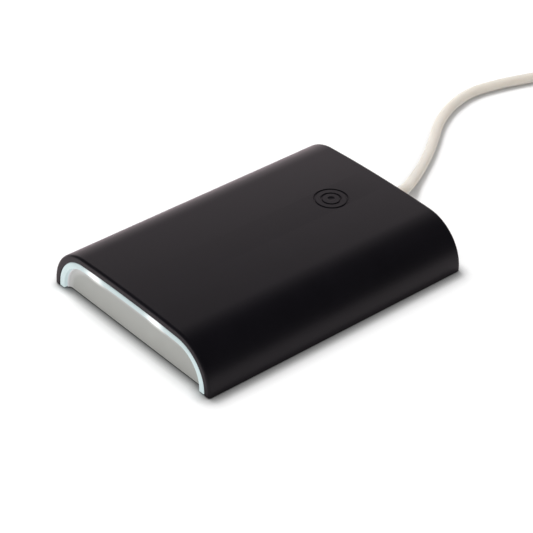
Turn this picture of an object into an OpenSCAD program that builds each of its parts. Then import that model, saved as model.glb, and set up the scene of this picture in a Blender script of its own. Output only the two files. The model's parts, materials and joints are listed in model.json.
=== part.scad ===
// Desktop contactless smart card reader: an arched cover over a tray, a lit front end and a USB cable.
// X runs across the width, +Y towards the cable end, +Z up. The feet stand on z = 0, under the middle.

/* [Cover] */
// Length of the housing, from the lit end to the cable end
body_l = 100; // [92:1:112]
// Width of the housing
body_w = 74; // [70:1:80]
// Height of the cover by itself, from its rim to the top
cover_h = 16.2; // [15.9:0.1:19]
// Radius of the long shoulders
shoulder_r = 15; // [13.5:0.1:15.3]
// Radius of the shallow crown between the shoulders
crown_r = 500; // [350:10:900]
// Wall of the cover
cover_wall = 2; // [1.7:0.1:2.2]
// Rounding of the cover's two end edges
edge_r = 0.9; // [0.6:0.1:1.1]
// Thickness of the stiffening ribs under the top
rib_t = 1.2; // [0.8:0.1:2]
// Depth of the stiffening ribs under the top
rib_depth = 1.2; // [0.8:0.1:1.5]
// Distance between the stiffening ribs
rib_pitch = 24; // [18:1:28]
// Radius of the screw bosses
boss_r = 3; // [2.6:0.1:3.4]

/* [Engraved mark] */
// Distance of the mark's centre from the cable end
mark_inset = 21; // [16:1:30]
// Outer radius of the mark's outer ring
mark_r = 5.6; // [4:0.1:7]
// Outer radius of the mark's inner ring
mark_inner_r = 3.4; // [2.6:0.1:3.8]
// Radius of the dot in the middle
mark_dot_r = 1.2; // [0.8:0.1:1.6]
// Width of the engraved lines
mark_line = 0.7; // [0.4:0.1:0.9]
// Depth of the engraving
mark_depth = 0.35; // [0.2:0.05:0.6]

/* [Tray] */
// Height of the tray's underside above the cover's rim
tray_inset = 0.2; // [0.1:0.1:0.5]
// Thickness of the tray's floor
tray_floor = 1.8; // [1.6:0.1:2.2]
// Depth of both end panels behind the cover's ends
end_recess = 1.9; // [1.6:0.1:2.4]
// Thickness of the end panels
panel_t = 1.8; // [1.4:0.1:2.2]
// Width of the hollow border round an end panel
border_w = 1.5; // [0.8:0.1:2]
// How far the border stands out in front of its panel
border_proud = 0.85; // [0.6:0.05:1.5]
// Flat lip along the border's outer edge
border_lip = 0.25; // [0.15:0.05:0.4]
// Thickness of the low side walls
side_t = 1.4; // [1:0.1:1.8]
// Height of the low side walls above the tray's floor
side_h = 3.6; // [2.5:0.1:4]
// Gap between the tray and the cover
fit_gap = 0.3; // [0.2:0.05:0.4]

/* [Light guide] */
// Thickness of the guide's two legs
guide_leg = 2.2; // [1.6:0.1:2.6]
// Thickness of the guide under the cover's top
guide_top = 1.6; // [1.2:0.1:1.9]
// Depth of the guide behind the cover's end
guide_depth = 3.5; // [3:0.1:3.7]
// Gap between the guide and what it sits in
guide_gap = 0.15; // [0.1:0.05:0.2]
// Distance from each lamp's side to the board's corner notch
lamp_side_gap = 1.75; // [1:0.25:2.5]
// Width of the guide's foot over a lamp
lug_w = 5; // [4:0.1:6]
// Length of the guide's foot over a lamp
lug_l = 2.6; // [2:0.1:2.8]

/* [Feet and screws] */
// How far the feet hold the cover's rim off the surface
foot_proud = 0.4; // [0.3:0.1:1]
// Radius of a foot
foot_r = 4.5; // [4:0.1:5]
// Depth of a foot's seat in the tray
foot_seat = 0.8; // [0.6:0.1:1]
// Distance of the feet and housing screws from either side
foot_side_inset = 12; // [11.5:0.5:13]
// Distance of the feet and housing screws from either end
foot_end_inset = 11.5; // [11:0.5:12]
// Radius of a housing screw's head
head_r = 2.3; // [2:0.1:2.5]
// Height of a housing screw's head
head_h = 1.6; // [1.3:0.1:1.8]
// Radius of a housing screw's thread
thread_r = 1.2; // [1:0.05:1.4]
// Length of a housing screw below its head
thread_l = 8; // [6:0.5:8.5]
// Height of the tray's screw posts above its floor
post_h = 3; // [2.5:0.1:3.4]
// Wall of the tray's screw posts
post_wall = 1.3; // [1:0.1:1.6]

/* [Circuit board] */
// Distance of the board's side edges from the housing's sides
board_side_inset = 8; // [7:0.5:9]
// Thickness of the board
board_t = 1.6; // [1:0.1:1.8]
// Height of the standoffs under the board
standoff_h = 4.4; // [4:0.1:4.6]
// Radius of the standoffs
standoff_r = 2.5; // [2.2:0.1:2.8]
// Distance of the board's screws from its side edges
hole_inset = 2.7; // [2.5:0.1:3]
// Gap between the front panel and the board
board_front_gap = 2.3; // [2:0.1:3]
// Gap between the rear panel and the board
board_rear_gap = 12.3; // [12:0.1:13]
// Side of the board's two front corner notches
notch = 11; // [10:0.5:12]
// Radius of a board screw's thread
board_thread_r = 0.9; // [0.8:0.05:1]
// Radius of a board screw's head
board_head_r = 1.9; // [1.6:0.1:2]
// Height of a board screw's head
board_head_h = 1.2; // [0.9:0.1:1.4]
// Length of a board screw below its head
board_screw_l = 5; // [4:0.1:5.5]
// Distance of the antenna's outer turn from the board's side edges
antenna_side_gap = 6; // [5.8:0.1:9]
// Turns of the antenna
antenna_turns = 5; // [3:1:6]
// Width of the antenna's copper
copper_w = 0.8; // [0.6:0.1:1]
// Distance from one antenna turn to the next
copper_pitch = 1.5; // [1.3:0.1:1.8]
// Thickness of the antenna's copper
copper_t = 0.15; // [0.1:0.05:0.2]

/* [Board parts] */
// Side of the radio chip
rf_w = 5; // [4:0.5:6]
// Height of the radio chip
rf_h = 0.85; // [0.7:0.05:1]
// Side of the controller chip's case
mcu_w = 7; // [6:0.5:7]
// Height of the controller chip
mcu_h = 1.4; // [1:0.1:1.6]
// Length of the crystal cans
can_l = 3.2; // [2.5:0.1:4]
// Width of the crystal cans
can_w = 2.5; // [2:0.1:3]
// Height of the crystal cans
can_h = 0.8; // [0.6:0.1:1.2]
// Length of the voltage regulator's case
reg_l = 6.5; // [6:0.1:7]
// Width of the voltage regulator's case
reg_w = 3.5; // [3:0.1:3.8]
// Height of the voltage regulator
reg_h = 1.6; // [1.4:0.1:1.8]
// Length of a small capacitor or resistor
chip_l = 1.6; // [1.2:0.1:1.8]
// Width of a small capacitor or resistor
chip_w = 0.8; // [0.6:0.1:1]
// Side of an inductor
coil_part_w = 2.5; // [2:0.1:2.8]
// Length of a lamp
led_l = 3.5; // [3:0.1:3.8]
// Width of a lamp
led_w = 2.8; // [2.4:0.1:3]
// Height of a lamp
led_h = 1.6; // [1.2:0.1:1.8]
// Pitch of the cable socket's pins
pin_pitch = 1.5; // [1.4:0.1:1.6]
// Wall of the cable socket
socket_wall = 0.7; // [0.5:0.1:0.9]
// Length of the cable socket
socket_l = 5.2; // [5:0.1:6]
// Height of the cable's crimp housing
crimp_h = 2.4; // [2.2:0.1:2.6]
// Length of the cable's crimp housing
crimp_l = 5.6; // [5.2:0.1:6]

/* [Cable] */
// Diameter of the cable
cable_d = 3.6; // [3.4:0.1:3.8]
// Height of the cable where it leaves the housing
cable_z = 6.4; // [6.2:0.1:6.8]
// Diameter of the insulated wires
wire_d = 1; // [0.8:0.05:1]
// Length of the cable's jacket inside the rear panel
jacket_inside = 5.3; // [5:0.1:6]
// Radius of the strain relief's flange inside the housing
flange_r = 3.8; // [3.5:0.1:3.9]
// Thickness of the strain relief's flange
flange_t = 2.2; // [1.8:0.1:2.4]
// Radius of the strain relief's neck in the rear panel
neck_r = 3; // [2.8:0.1:3.1]
// Length of the strain relief outside the rear panel
sleeve_l = 5.8; // [5:0.1:6]
// Radius of the strain relief's outer end
sleeve_end_r = 2.5; // [2.4:0.1:2.8]

/* [Coil] */
// Radius of the coil's innermost turn
coil_inner_r = 14.7; // [14:0.1:16]
// Turns from one reversal of the coil to the next
coil_layer_turns = 2.625; // [2.625:1:2.625]
// Clearance between neighbouring turns and layers
turn_gap = 0.45; // [0.43:0.01:0.7]
// Thickness of the tie round the coil
tie_t = 0.7; // [0.5:0.1:1]
// Width of the tie
tie_w = 8; // [6:0.5:10]
// Room between the tie and the turns
tie_gap = 0.3; // [0.2:0.05:0.5]

/* [USB plug] */
// Width of the plug's grip
grip_w = 15.6; // [14:0.1:16]
// Height of the plug's grip
grip_h = 8; // [7:0.1:9]
// Length of the plug's grip
grip_l = 24; // [20:0.5:26]
// Corner radius of the plug's grip
grip_r = 2.2; // [1.5:0.1:2.8]
// Length of the plug's tapered sleeve
taper_l = 12; // [10:0.5:14]
// Width of the plug's metal shell
usb_w = 12; // [11.9:0.1:12.1]
// Height of the plug's metal shell
usb_h = 4.5; // [4.4:0.1:4.6]
// Length of the plug's metal shell
usb_l = 18.5; // [18:0.1:19]
// Sheet thickness of the plug's metal shell
usb_sheet = 0.3; // [0.25:0.01:0.35]
// Thickness of the plug's tongue
tongue_t = 1.8; // [1.7:0.05:1.9]

/* [Hidden] */
$fn = 48;

// How far a cut runs past the face that it opens
over = 1;
// Running clearance of a screw in its hole, and of small pieces that sit in each other
play = 0.1;
// Clear height kept over a lamp
lamp_gap = 0.3;
// Overlap by which ribs and bosses root in the wall that carries them
root = 0.5;

// Steps of the shoulder arc, the crown arc and a small rounding
shoulder_steps = 12;
crown_steps = 6;
edge_steps = 3;
border_steps = 4;
corner_steps = 6;

// Heights
cover_z = foot_proud;
cover_top = cover_z + cover_h;
ceiling = cover_top - cover_wall;
tray_z = cover_z + tray_inset;
floor_top = tray_z + tray_floor;
board_z = floor_top + standoff_h;
board_top = board_z + board_t;

// The arch: the axis of a shoulder, the height of the crown's axis, and the lean where the two arcs meet
half_l = body_l / 2;
half_w = body_w / 2;
shoulder_x = half_w - shoulder_r;
crown_z = cover_top - crown_r;
lean = asin(shoulder_x / (crown_r - shoulder_r));
shoulder_z = crown_z + (crown_r - shoulder_r) * cos(lean);

// End panels: faces and rear faces along Y
front_face = -half_l + end_recess;
front_back = front_face + panel_t;
rear_face = half_l - end_recess;
rear_back = rear_face - panel_t;

// Light guide: insets from the cover's outside, at its top and at its legs
guide_inset = cover_wall + guide_gap;
guide_inner_top = guide_inset + guide_top;
guide_inner_leg = guide_inset + guide_leg;
guide_back = -half_l + guide_depth;

// Tray: how wide it may be beside the cover's legs or shoulders, and its low side walls
tray_drop = max(0, floor_top - shoulder_z);
tray_half = shoulder_x + sqrt(pow(shoulder_r - cover_wall, 2) - pow(tray_drop, 2)) - fit_gap;
side_top = floor_top + side_h;
side_out = shoulder_x + sqrt(pow(shoulder_r - cover_wall, 2) - pow(side_top - shoulder_z, 2)) - fit_gap;

// Feet, screws and posts
foot_x = half_w - foot_side_inset;
foot_y = half_l - foot_end_inset;
foot_places = [for (sx = [-1, 1], sy = [-1, 1]) [sx * foot_x, sy * foot_y]];
foot_t = foot_proud + tray_inset + foot_seat;
seat_play = 0.2;
head_floor = tray_z + foot_seat;
head_top = head_floor + seat_play + head_h;
post_r = head_r + seat_play + post_wall;
post_top = floor_top + post_h;
boss_z = post_top + play;
pilot_depth_left = 1;

// Board
board_front = front_back + board_front_gap;
board_rear = rear_back - board_rear_gap;
board_l = board_rear - board_front;
board_w = body_w - 2 * board_side_inset;
board_mid = (board_rear + board_front) / 2;
board_half = [board_w / 2, board_l / 2];
screw_x = board_w / 2 - hole_inset;
board_screw_shares = [-0.38, 0.74];
board_screw_places = [
    for (sx = [-1, 1], share = board_screw_shares) [sx * screw_x, board_mid + share * board_l / 2]
];
antenna_front = board_front + notch + copper_pitch;
antenna_rear = board_mid + 0.295 * board_l / 2;
antenna_w = board_w - 2 * antenna_side_gap;
antenna_l = antenna_rear - antenna_front;
antenna_mid = (antenna_rear + antenna_front) / 2;
led_x = board_w / 2 - notch - lamp_side_gap - led_l / 2;

// Places of the board's parts, as shares of half its width and half its length
rf_chip_share = [-0.40, 0.60];
controller_share = [0.34, 0.62];
rf_crystal_share = [-0.66, 0.72];
usb_crystal_share = [0.66, 0.54];
regulator_share = [0.62, 0.84];
inductor_shares = [[-0.13, 0.50], [-0.13, 0.60]];
capacitor_shares = [
    [-0.62, 0.49], [-0.62, 0.56], [-0.52, 0.77], [-0.40, 0.77], [-0.28, 0.77],
    [-0.28, 0.90], [0.28, 0.90], [0.40, 0.84], [0.12, 0.42], [0.34, 0.42]
];
resistor_shares = [
    [-0.26, 0.42], [-0.42, 0.42], [0.54, 0.42], [0.68, 0.42], [0.02, 0.54],
    [0.02, 0.62], [-0.64, 0.86], [-0.50, 0.90], [-0.20, -0.93], [0.20, -0.93]
];

// Socket and crimp housing on the board's rear edge
wires = 4;
pin_xs = [for (i = [0 : wires - 1]) (i - (wires - 1) / 2) * pin_pitch];
crimp_w = (wires + 0.5) * pin_pitch;
socket_w = crimp_w + 2 * (play + socket_wall);
socket_h = crimp_h + 2 * (play + socket_wall);
socket_rear = board_rear - play;
crimp_z = board_top + socket_wall + play + crimp_h / 2;
crimp_rear = socket_rear + root + play;
pin_w = 0.5;
pin_l = 3;

// Cable inside the housing
jacket_end = rear_back - jacket_inside;
wire_spread = 0.1;
wire_offset = (wire_d + wire_spread) / 2;
wire_lead = 1.3;
sleeve_end = rear_face + sleeve_l;
bore_gap = 0.15;
collar_r = neck_r + bore_gap + root;
collar_t = 1.2;
groove_w = 0.6;
groove_depth = 0.3;
rib_wall = 1.2;

// Sides and rings of the swept tubes
cable_sides = 8;
wire_sides = 8;
coil_sides = 6;
turn_rings = 24;

// The coil: layers, centre, lowest turn, and its own path
coil_layers = 4;
coil_pitch = cable_d + turn_gap;
coil_x = 2;
coil_out = 134;
coil_y = half_l + coil_out;
coil_outer_r = coil_inner_r + coil_layer_turns * coil_pitch;
coil_z = tie_t + tie_gap + cable_d / 2;
coil_high = coil_z + (coil_layers - 1) * coil_pitch;
coil_turns = coil_layers * coil_layer_turns;
climb_turns = 0.5;
coil_path = concat(
    [coil_point(0) - [0, cable_d, 0]],
    [for (i = [0 : coil_turns * turn_rings]) coil_point(i / turn_rings)],
    [coil_point(coil_turns) - [0, cable_d, 0]]
);

// The plug, along -Y from the end of the tail
plug_x = 42;
plug_z = grip_h / 2;
plug_out = 100;
plug_y = half_l + plug_out;
grip_rear = plug_y - taper_l;
grip_front = grip_rear - grip_l;
usb_rear = grip_front;
usb_front = usb_rear - usb_l;
taper_end_r = cable_d / 2 + groove_w;
window_w = 2.2;
window_l = 2;
window_x = 3;
window_inset = 5.2;
tongue_gap = 0.1;
tongue_short = 0.6;
contact_t = 0.2;
contact_w = 1.1;
contact_l = 8.6;
contact_xs = [-3.5, -1, 1, 3.5];
seam_w = 0.2;
seam_depth = 0.12;

// The cable's free stretch, from the jacket's end in the housing to the coil, measured from the housing's end
low = cable_d / 2;
cable_route = [
    [0, -9, cable_z], [0, -3, cable_z], [0, 4, cable_z], [-1, 10, 5.6], [-3.6, 16, 3.8], [-7, 22, 2.4],
    [-10.5, 28.5, low], [-15.5, 37, low], [-21, 45, low], [-26.5, 52.5, low], [-31, 60.5, low],
    [-34, 69, low], [-35.2, 78, low], [-33.6, 87.5, low], [-30.7, 97, low], [-27.5, 106, low],
    [-24.7, 115, 2], [-23.4, 123, 2.6], [coil_x - coil_outer_r, 126.8, coil_z],
    [coil_x - coil_outer_r, 130.4, coil_z]
];
// The cable's free stretch from the coil to the plug's tapered sleeve, measured in the same way
tail_route = [
    [coil_x + coil_outer_r, 130.4, coil_high], [coil_x + coil_outer_r, 126.8, coil_high],
    [28.6, 121.5, 13.8], [32.4, 116.5, 10.6], [37.2, 111.5, 7], [41, 107, 4.6],
    [plug_x, 103.6, plug_z], [plug_x, 100, plug_z]
];
cable_points = [for (p = cable_route) p + [0, half_l, 0]];
tail_points = [for (p = tail_route) p + [0, half_l, 0]];
point_steps = 2;

// Points of one arc from one lean to another, measured from straight up towards +X
function arc(x, z, r, from, to, steps) =
    [for (i = [0 : steps]) let (a = from + (to - from) * i / steps) [x + r * sin(a), z + r * cos(a)]];

// Outline of the arch with its top and its legs set in from the cover's outside, cut off at a height
function arch(top_in, leg_in, base) =
    let (
        r = shoulder_r - (top_in + leg_in) / 2,
        x = half_w - leg_in - r,
        crown = crown_r - top_in,
        tilt = asin(x / (crown - r)),
        z = crown_z + (crown - r) * cos(tilt),
        // Where the shoulder's axis lies below the base, the arc starts at the base
        start = z < base ? acos((base - z) / r) : 90
    )
    concat(
        [if (z > base) [half_w - leg_in, base]],
        arc(x, z, r, start, tilt, shoulder_steps),
        [for (p = arc(0, crown_z, crown, tilt, -tilt, crown_steps)) if (abs(p[0]) < x - play) p],
        arc(-x, z, r, -tilt, -start, shoulder_steps),
        [if (z > base) [-half_w + leg_in, base]]
    );

// Outline of a rectangle with round corners, about the origin
function round_rect(w, h, r) =
    [for (q = [[1, 1, 0], [-1, 1, 90], [-1, -1, 180], [1, -1, 270]], i = [0 : corner_steps])
        let (a = q[2] + 90 * i / corner_steps)
        [q[0] * (w / 2 - r) + r * cos(a), q[1] * (h / 2 - r) + r * sin(a)]];

// Place on the board of a share of its half width and half length
function board_place(share) = [share[0] * board_half[0], board_mid + share[1] * board_half[1]];

function unit(v) = v / norm(v);

// A smooth curve through points, with steps per stretch; its first and last stretches stay straight
function curve_point(a, b, c, d, t) =
    (2 * b + (c - a) * t + (2 * a - 5 * b + 4 * c - d) * t * t + (3 * b - a - 3 * c + d) * t * t * t) / 2;
function curve(p, steps) = concat(
    [p[0]],
    [
        for (i = [1 : len(p) - 3], j = [0 : steps - 1])
        curve_point(p[i - 1], p[i], p[i + 1], p[i + 2], j / steps)
    ],
    [p[len(p) - 2], p[len(p) - 1]]
);

// Direction of a path at one of its points; the ends point straight along their first and last stretch
function heading(p, i) =
    let (n = len(p) - 1)
    i == 0 ? unit(p[1] - p[0]) : i == n ? unit(p[n] - p[n - 1]) : unit(p[i + 1] - p[i - 1]);
function ring(centre, way, r, sides) =
    let (across = unit(cross(way, [0, 0, 1])), up = cross(across, way))
    [for (k = [0 : sides - 1]) centre + r * (cos(360 * k / sides) * across + sin(360 * k / sides) * up)];

// A closed tube along a path
module tube(path, r, sides) {
    n = len(path);
    points = [for (i = [0 : n - 1]) each ring(path[i], heading(path, i), r, sides)];
    skin = [
        for (i = [0 : n - 2], k = [0 : sides - 1])
        let (a = i * sides + k, b = i * sides + (k + 1) % sides)
        each [[a, a + sides, b], [b, a + sides, b + sides]]
    ];
    caps = [
        for (k = [1 : sides - 2])
        each [[0, k, k + 1], [(n - 1) * sides, (n - 1) * sides + k + 1, (n - 1) * sides + k]]
    ];
    polyhedron(points = points, faces = concat(skin, caps));
}

// The coil's centreline after t turns: its radius runs in and out, and each reversal climbs one layer
function coil_point(t) =
    let (
        layer = floor(t / coil_layer_turns),
        along = t - layer * coil_layer_turns,
        inward = layer % 2 == 0 ? coil_layer_turns - along : along,
        near = round(t / coil_layer_turns),
        shift = (t - near * coil_layer_turns) / climb_turns + 0.5,
        rise = near < 1 || near >= coil_layers ? (near < 1 ? 0 : coil_layers - 1)
            : near - 1 + max(0, min(1, shift)),
        r = coil_inner_r + inward * coil_pitch,
        a = 180 - 360 * t
    )
    [coil_x + r * cos(a), coil_y + r * sin(a), coil_z + rise * coil_pitch];

// Least gap between the coil's turns, measured between points more than a third of a turn apart
coil_gap = min([
    for (i = [1 : len(coil_path) - 2], j = [i + turn_rings / 3 : len(coil_path) - 2])
    norm(coil_path[i] - coil_path[j])
]) - cable_d;
echo(coil_gap = coil_gap);

// Stands an outline in X and Z up and runs it along Y
module along_y(from, to) {
    translate([0, to, 0])
        rotate([90, 0, 0])
            linear_extrude(to - from)
                children();
}

// Turns a shape drawn along +Z so that it runs along +Y
module facing_rear() {
    rotate([-90, 0, 0])
        children();
}

// The arched cover: a rounded arch, hollowed, with ribs, screw bosses and an engraved mark
module top_cover() {
    color([0.13, 0.12, 0.13])
    difference() {
        union() {
            difference() {
                cover_body();
                along_y(-half_l - over, half_l + over)
                    polygon(arch(cover_wall, cover_wall, cover_z - over));
            }
            intersection() {
                along_y(-foot_y - boss_r, foot_y + boss_r)
                    polygon(arch(cover_wall - root, cover_wall - root, cover_z));
                union() {
                    for (i = [-1 : 1])
                        translate([-shoulder_x, i * rib_pitch - rib_t / 2, ceiling - rib_depth])
                            cube([2 * shoulder_x, rib_t, rib_depth + cover_wall]);
                    for (p = foot_places)
                        translate([p[0], p[1], boss_z])
                            cylinder(r = boss_r, h = cover_top - boss_z);
                }
            }
        }
        for (p = foot_places)
            translate([p[0], p[1], boss_z - over])
                cylinder(r = thread_r + play / 2, h = head_top + thread_l + pilot_depth_left - boss_z + over);
        translate([0, half_l - mark_inset, cover_top - mark_depth])
            engraved_mark();
    }
}

// The cover's outside, solid, with its two end edges rounded
module cover_body() {
    hull()
        for (i = [0 : edge_steps]) {
            a = 90 * i / edge_steps;
            inset = edge_r * (1 - cos(a));
            back = edge_r * (1 - sin(a));
            along_y(-half_l + back, half_l - back)
                polygon(arch(inset, inset, cover_z));
        }
}

// Two rings and a dot, as a cutter that reaches out through the top
module engraved_mark() {
    for (r = [mark_r, mark_inner_r])
        difference() {
            cylinder(r = r, h = over);
            translate([0, 0, -over])
                cylinder(r = r - mark_line, h = 3 * over);
        }
    cylinder(r = mark_dot_r, h = over);
}

// The tray: floor, two end panels with hollow borders, low side walls, posts, standoffs and the cable's seat
module base_tray() {
    color([0.64, 0.64, 0.62])
    difference() {
        union() {
            translate([-half_w + guide_inner_leg + guide_gap, front_face, tray_z])
                cube([body_w - 2 * (guide_inner_leg + guide_gap), rear_face - front_face, tray_floor]);
            translate([-tray_half, guide_back + fit_gap, tray_z])
                cube([2 * tray_half, rear_face - guide_back - fit_gap, tray_floor]);
            end_panel(guide_inner_top + guide_gap, guide_inner_leg + guide_gap);
            mirror([0, 1, 0])
                end_panel(cover_wall + fit_gap, cover_wall + fit_gap);
            for (s = [-1, 1])
                translate([s * (side_out - side_t / 2) - side_t / 2, -foot_y, floor_top - root])
                    cube([side_t, 2 * foot_y, side_h + root]);
            for (p = foot_places)
                translate([p[0], p[1], tray_z])
                    cylinder(r = post_r, h = post_top - tray_z);
            for (p = board_screw_places)
                translate([p[0], p[1], tray_z])
                    cylinder(r = standoff_r, h = board_z - tray_z);
            cable_seat();
        }
        for (p = foot_places) {
            translate([p[0], p[1], tray_z - over])
                cylinder(r = foot_r + seat_play, h = foot_seat + over);
            translate([p[0], p[1], tray_z])
                cylinder(r = head_r + seat_play, h = head_top - tray_z);
            translate([p[0], p[1], tray_z])
                cylinder(r = thread_r + seat_play, h = post_top - tray_z + over);
        }
        for (p = board_screw_places)
            translate([p[0], p[1], floor_top])
                cylinder(r = board_thread_r + play / 2, h = standoff_h + over);
        translate([0, rear_back - over, cable_z])
            facing_rear()
                cylinder(r = neck_r + bore_gap, h = panel_t + 2 * over);
    }
}

// One end panel at the -Y end, its outline set in from the cover's outside, with a hollow border
module end_panel(top_in, leg_in) {
    difference() {
        along_y(front_face - border_proud, front_back)
            polygon(arch(top_in, leg_in, tray_z));
        hull()
            for (i = [0 : border_steps]) {
                a = 90 * i / border_steps;
                inset = border_lip + border_w * (1 - cos(a));
                along_y(-half_l - over, front_face - border_proud * (1 - sin(a)))
                    polygon(arch(top_in + inset, leg_in + inset, tray_z - over));
            }
    }
}

// The rib inside the rear panel that holds the strain relief's flange, with a slot for the cable
module cable_seat() {
    seat_w = 2 * (flange_r + rib_wall);
    seat_y = rear_back - 2 * play - flange_t - rib_wall;
    difference() {
        translate([-seat_w / 2, seat_y, floor_top - root])
            cube([seat_w, rib_wall, cable_z - floor_top + root]);
        translate([0, seat_y - over, cable_z])
            facing_rear()
                cylinder(r = cable_d / 2 + bore_gap, h = rib_wall + 2 * over);
    }
}

// The clear arch in the lit end, with a foot that reaches down over each lamp
module light_guide() {
    lug_back = board_front + led_w / 2 + lug_l / 2;
    lug_z = board_top + led_h + lamp_gap;
    color([0.82, 0.91, 0.90])
    union() {
        guide_arch(-half_l, guide_back);
        intersection() {
            union() {
                guide_arch(guide_back - root, lug_back);
                along_y(lug_back - lug_l, lug_back)
                    polygon(arch(guide_inset, guide_inset, lug_z));
            }
            for (s = [-1, 1])
                translate([s * led_x - lug_w / 2, guide_back - root, lug_z])
                    cube([lug_w, lug_back - guide_back + root, cover_h]);
        }
    }
}

// A stretch of the arch-shaped band that the light guide is made of
module guide_arch(from, to) {
    difference() {
        along_y(from, to)
            polygon(arch(guide_inset, guide_inset, tray_z));
        along_y(from - over, to + over)
            polygon(arch(guide_inner_top, guide_inner_leg, tray_z - over));
    }
}

// The board, notched at its front corners round the cover's bosses
module circuit_board() {
    color([0.10, 0.32, 0.20])
    translate([0, 0, board_z])
        difference() {
            translate([-board_w / 2, board_front, 0])
                cube([board_w, board_l, board_t]);
            for (s = [-1, 1])
                translate([s * board_w / 2 - notch, board_front - notch, -over])
                    cube([2 * notch, 2 * notch, board_t + 2 * over]);
            for (p = board_screw_places)
                translate([p[0], p[1], -over])
                    cylinder(r = board_thread_r + seat_play, h = board_t + 2 * over);
        }
}

// Corner number j of the antenna's square spiral, from the outside in
function antenna_corner(j) =
    let (
        turn = floor(j / 4),
        side = j % 4,
        x = antenna_w / 2 - turn * copper_pitch,
        y = antenna_l / 2 - turn * copper_pitch
    )
    side == 0 ? [-x - (turn > 0 ? copper_pitch : 0), y] : side == 1 ? [x, y] : side == 2 ? [x, -y] : [-x, -y];

// The antenna: flat copper turns on the board, drawn as one unbroken strip
module antenna_loop() {
    color([0.78, 0.47, 0.26])
    translate([0, antenna_mid, board_top])
        for (j = [0 : 4 * antenna_turns - 1]) {
            a = antenna_corner(j);
            b = antenna_corner(j + 1);
            low = [min(a[0], b[0]), min(a[1], b[1])];
            span = [abs(a[0] - b[0]), abs(a[1] - b[1])];
            translate([low[0] - copper_w / 2, low[1] - copper_w / 2, 0])
                cube([span[0] + copper_w, span[1] + copper_w, copper_t]);
        }
}

// Puts a board part at a share of the board
module on_board(share) {
    p = board_place(share);
    translate([p[0], p[1], board_top])
        children();
}

// A block that stands on the board about its own middle
module block(l, w, h) {
    translate([-l / 2, -w / 2, 0])
        cube([l, w, h]);
}

// The radio chip: a flat case on a row of pads, with a dimple at pin one
module rf_chip() {
    pads = 8;
    pad_pitch = rf_w / (pads + 2);
    pad_out = 0.1;
    dimple_r = 0.3;
    dimple_in = 0.8;
    color([0.10, 0.10, 0.11])
    on_board(rf_chip_share)
        difference() {
            union() {
                block(rf_w, rf_w, rf_h);
                for (turn = [0, 90], i = [0 : pads - 1])
                    rotate([0, 0, turn])
                        translate([(i - (pads - 1) / 2) * pad_pitch, 0, 0])
                            block(pad_pitch / 2, rf_w + 2 * pad_out, 2 * pad_out);
            }
            translate([-rf_w / 2 + dimple_in, rf_w / 2 - dimple_in, rf_h - pad_out])
                cylinder(r = dimple_r, h = over);
        }
}

// The controller chip: a case with eight stepped leads on each side
module controller_chip() {
    leads = 8;
    lead_pitch = mcu_w / (leads + 1);
    lead_w = lead_pitch / 2;
    lead_out = 1;
    lead_t = 0.15;
    shelf = 0.45;
    dimple_r = 0.4;
    dimple_in = 1;
    color([0.10, 0.10, 0.11])
    on_board(controller_share) {
        difference() {
            translate([0, 0, lead_t])
                block(mcu_w, mcu_w, mcu_h - lead_t);
            translate([-mcu_w / 2 + dimple_in, mcu_w / 2 - dimple_in, mcu_h - lead_t])
                cylinder(r = dimple_r, h = over);
        }
        for (turn = [0, 90], i = [0 : leads - 1])
            rotate([0, 0, turn])
                translate([(i - (leads - 1) / 2) * lead_pitch, 0, 0]) {
                    translate([0, 0, mcu_h / 2])
                        block(lead_w, mcu_w + lead_out + lead_t, lead_t);
                    for (s = [-1, 1]) {
                        translate([0, s * (mcu_w + lead_out) / 2, 0])
                            block(lead_w, lead_t, mcu_h / 2 + lead_t);
                        translate([0, s * (mcu_w + lead_out + shelf) / 2, 0])
                            block(lead_w, shelf + lead_t, lead_t);
                    }
                }
    }
}

// A crystal's metal can with a lid that is drawn in
module crystal_can(share) {
    lid_in = 0.35;
    lid_t = 0.2;
    color([0.74, 0.75, 0.76])
    on_board(share) {
        block(can_l, can_w, can_h - lid_t);
        block(can_l - 2 * lid_in, can_w - 2 * lid_in, can_h);
    }
}
module rf_crystal() { crystal_can(rf_crystal_share); }
module usb_crystal() { crystal_can(usb_crystal_share); }

// The voltage regulator: a case with one wide tab behind and three leads in front
module voltage_regulator() {
    tab_w = 3;
    tab_out = 1.6;
    tab_t = 0.25;
    lead_w = 0.7;
    lead_pitch = 2.3;
    color([0.10, 0.10, 0.11])
    on_board(regulator_share) {
        translate([0, 0, tab_t])
            block(reg_l, reg_w, reg_h - tab_t);
        translate([0, (reg_w + tab_out) / 2 - root, 0])
            block(tab_w, tab_out + root, 2 * tab_t);
        for (i = [-1 : 1])
            translate([i * lead_pitch, -(reg_w + tab_out) / 2 + root, 0])
                block(lead_w, tab_out + root, 2 * tab_t);
    }
}

// A lamp: a case with a round cup and a clear dome in it, shining up
module lamp(side) {
    cup_r = led_w / 2 - lamp_gap;
    cup_depth = led_h / 4;
    dome_r = cup_r - lamp_gap;
    color([0.93, 0.92, 0.88])
    translate([side * led_x, board_front + led_w / 2, board_top]) {
        difference() {
            block(led_l, led_w, led_h);
            translate([0, 0, led_h - cup_depth])
                cylinder(r = cup_r, h = cup_depth + over);
        }
        translate([0, 0, led_h - cup_depth - play])
            cylinder(r1 = dome_r, r2 = dome_r - cup_depth, h = cup_depth + play);
    }
}
module led_left() { lamp(-1); }
module led_right() { lamp(1); }

// A small two-ended part: its body and two metal ends that are a little larger
module end_capped(l, w, h) {
    cap_l = l / 5;
    cap_over = 0.03;
    block(l - cap_l, w, h);
    for (s = [-1, 1])
        translate([s * (l - cap_l) / 2, 0, 0])
            block(cap_l, w + 2 * cap_over, h + cap_over);
}

module capacitors() {
    color([0.72, 0.60, 0.44])
    for (share = capacitor_shares)
        on_board(share)
            end_capped(chip_l, chip_w, chip_w);
}

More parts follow.
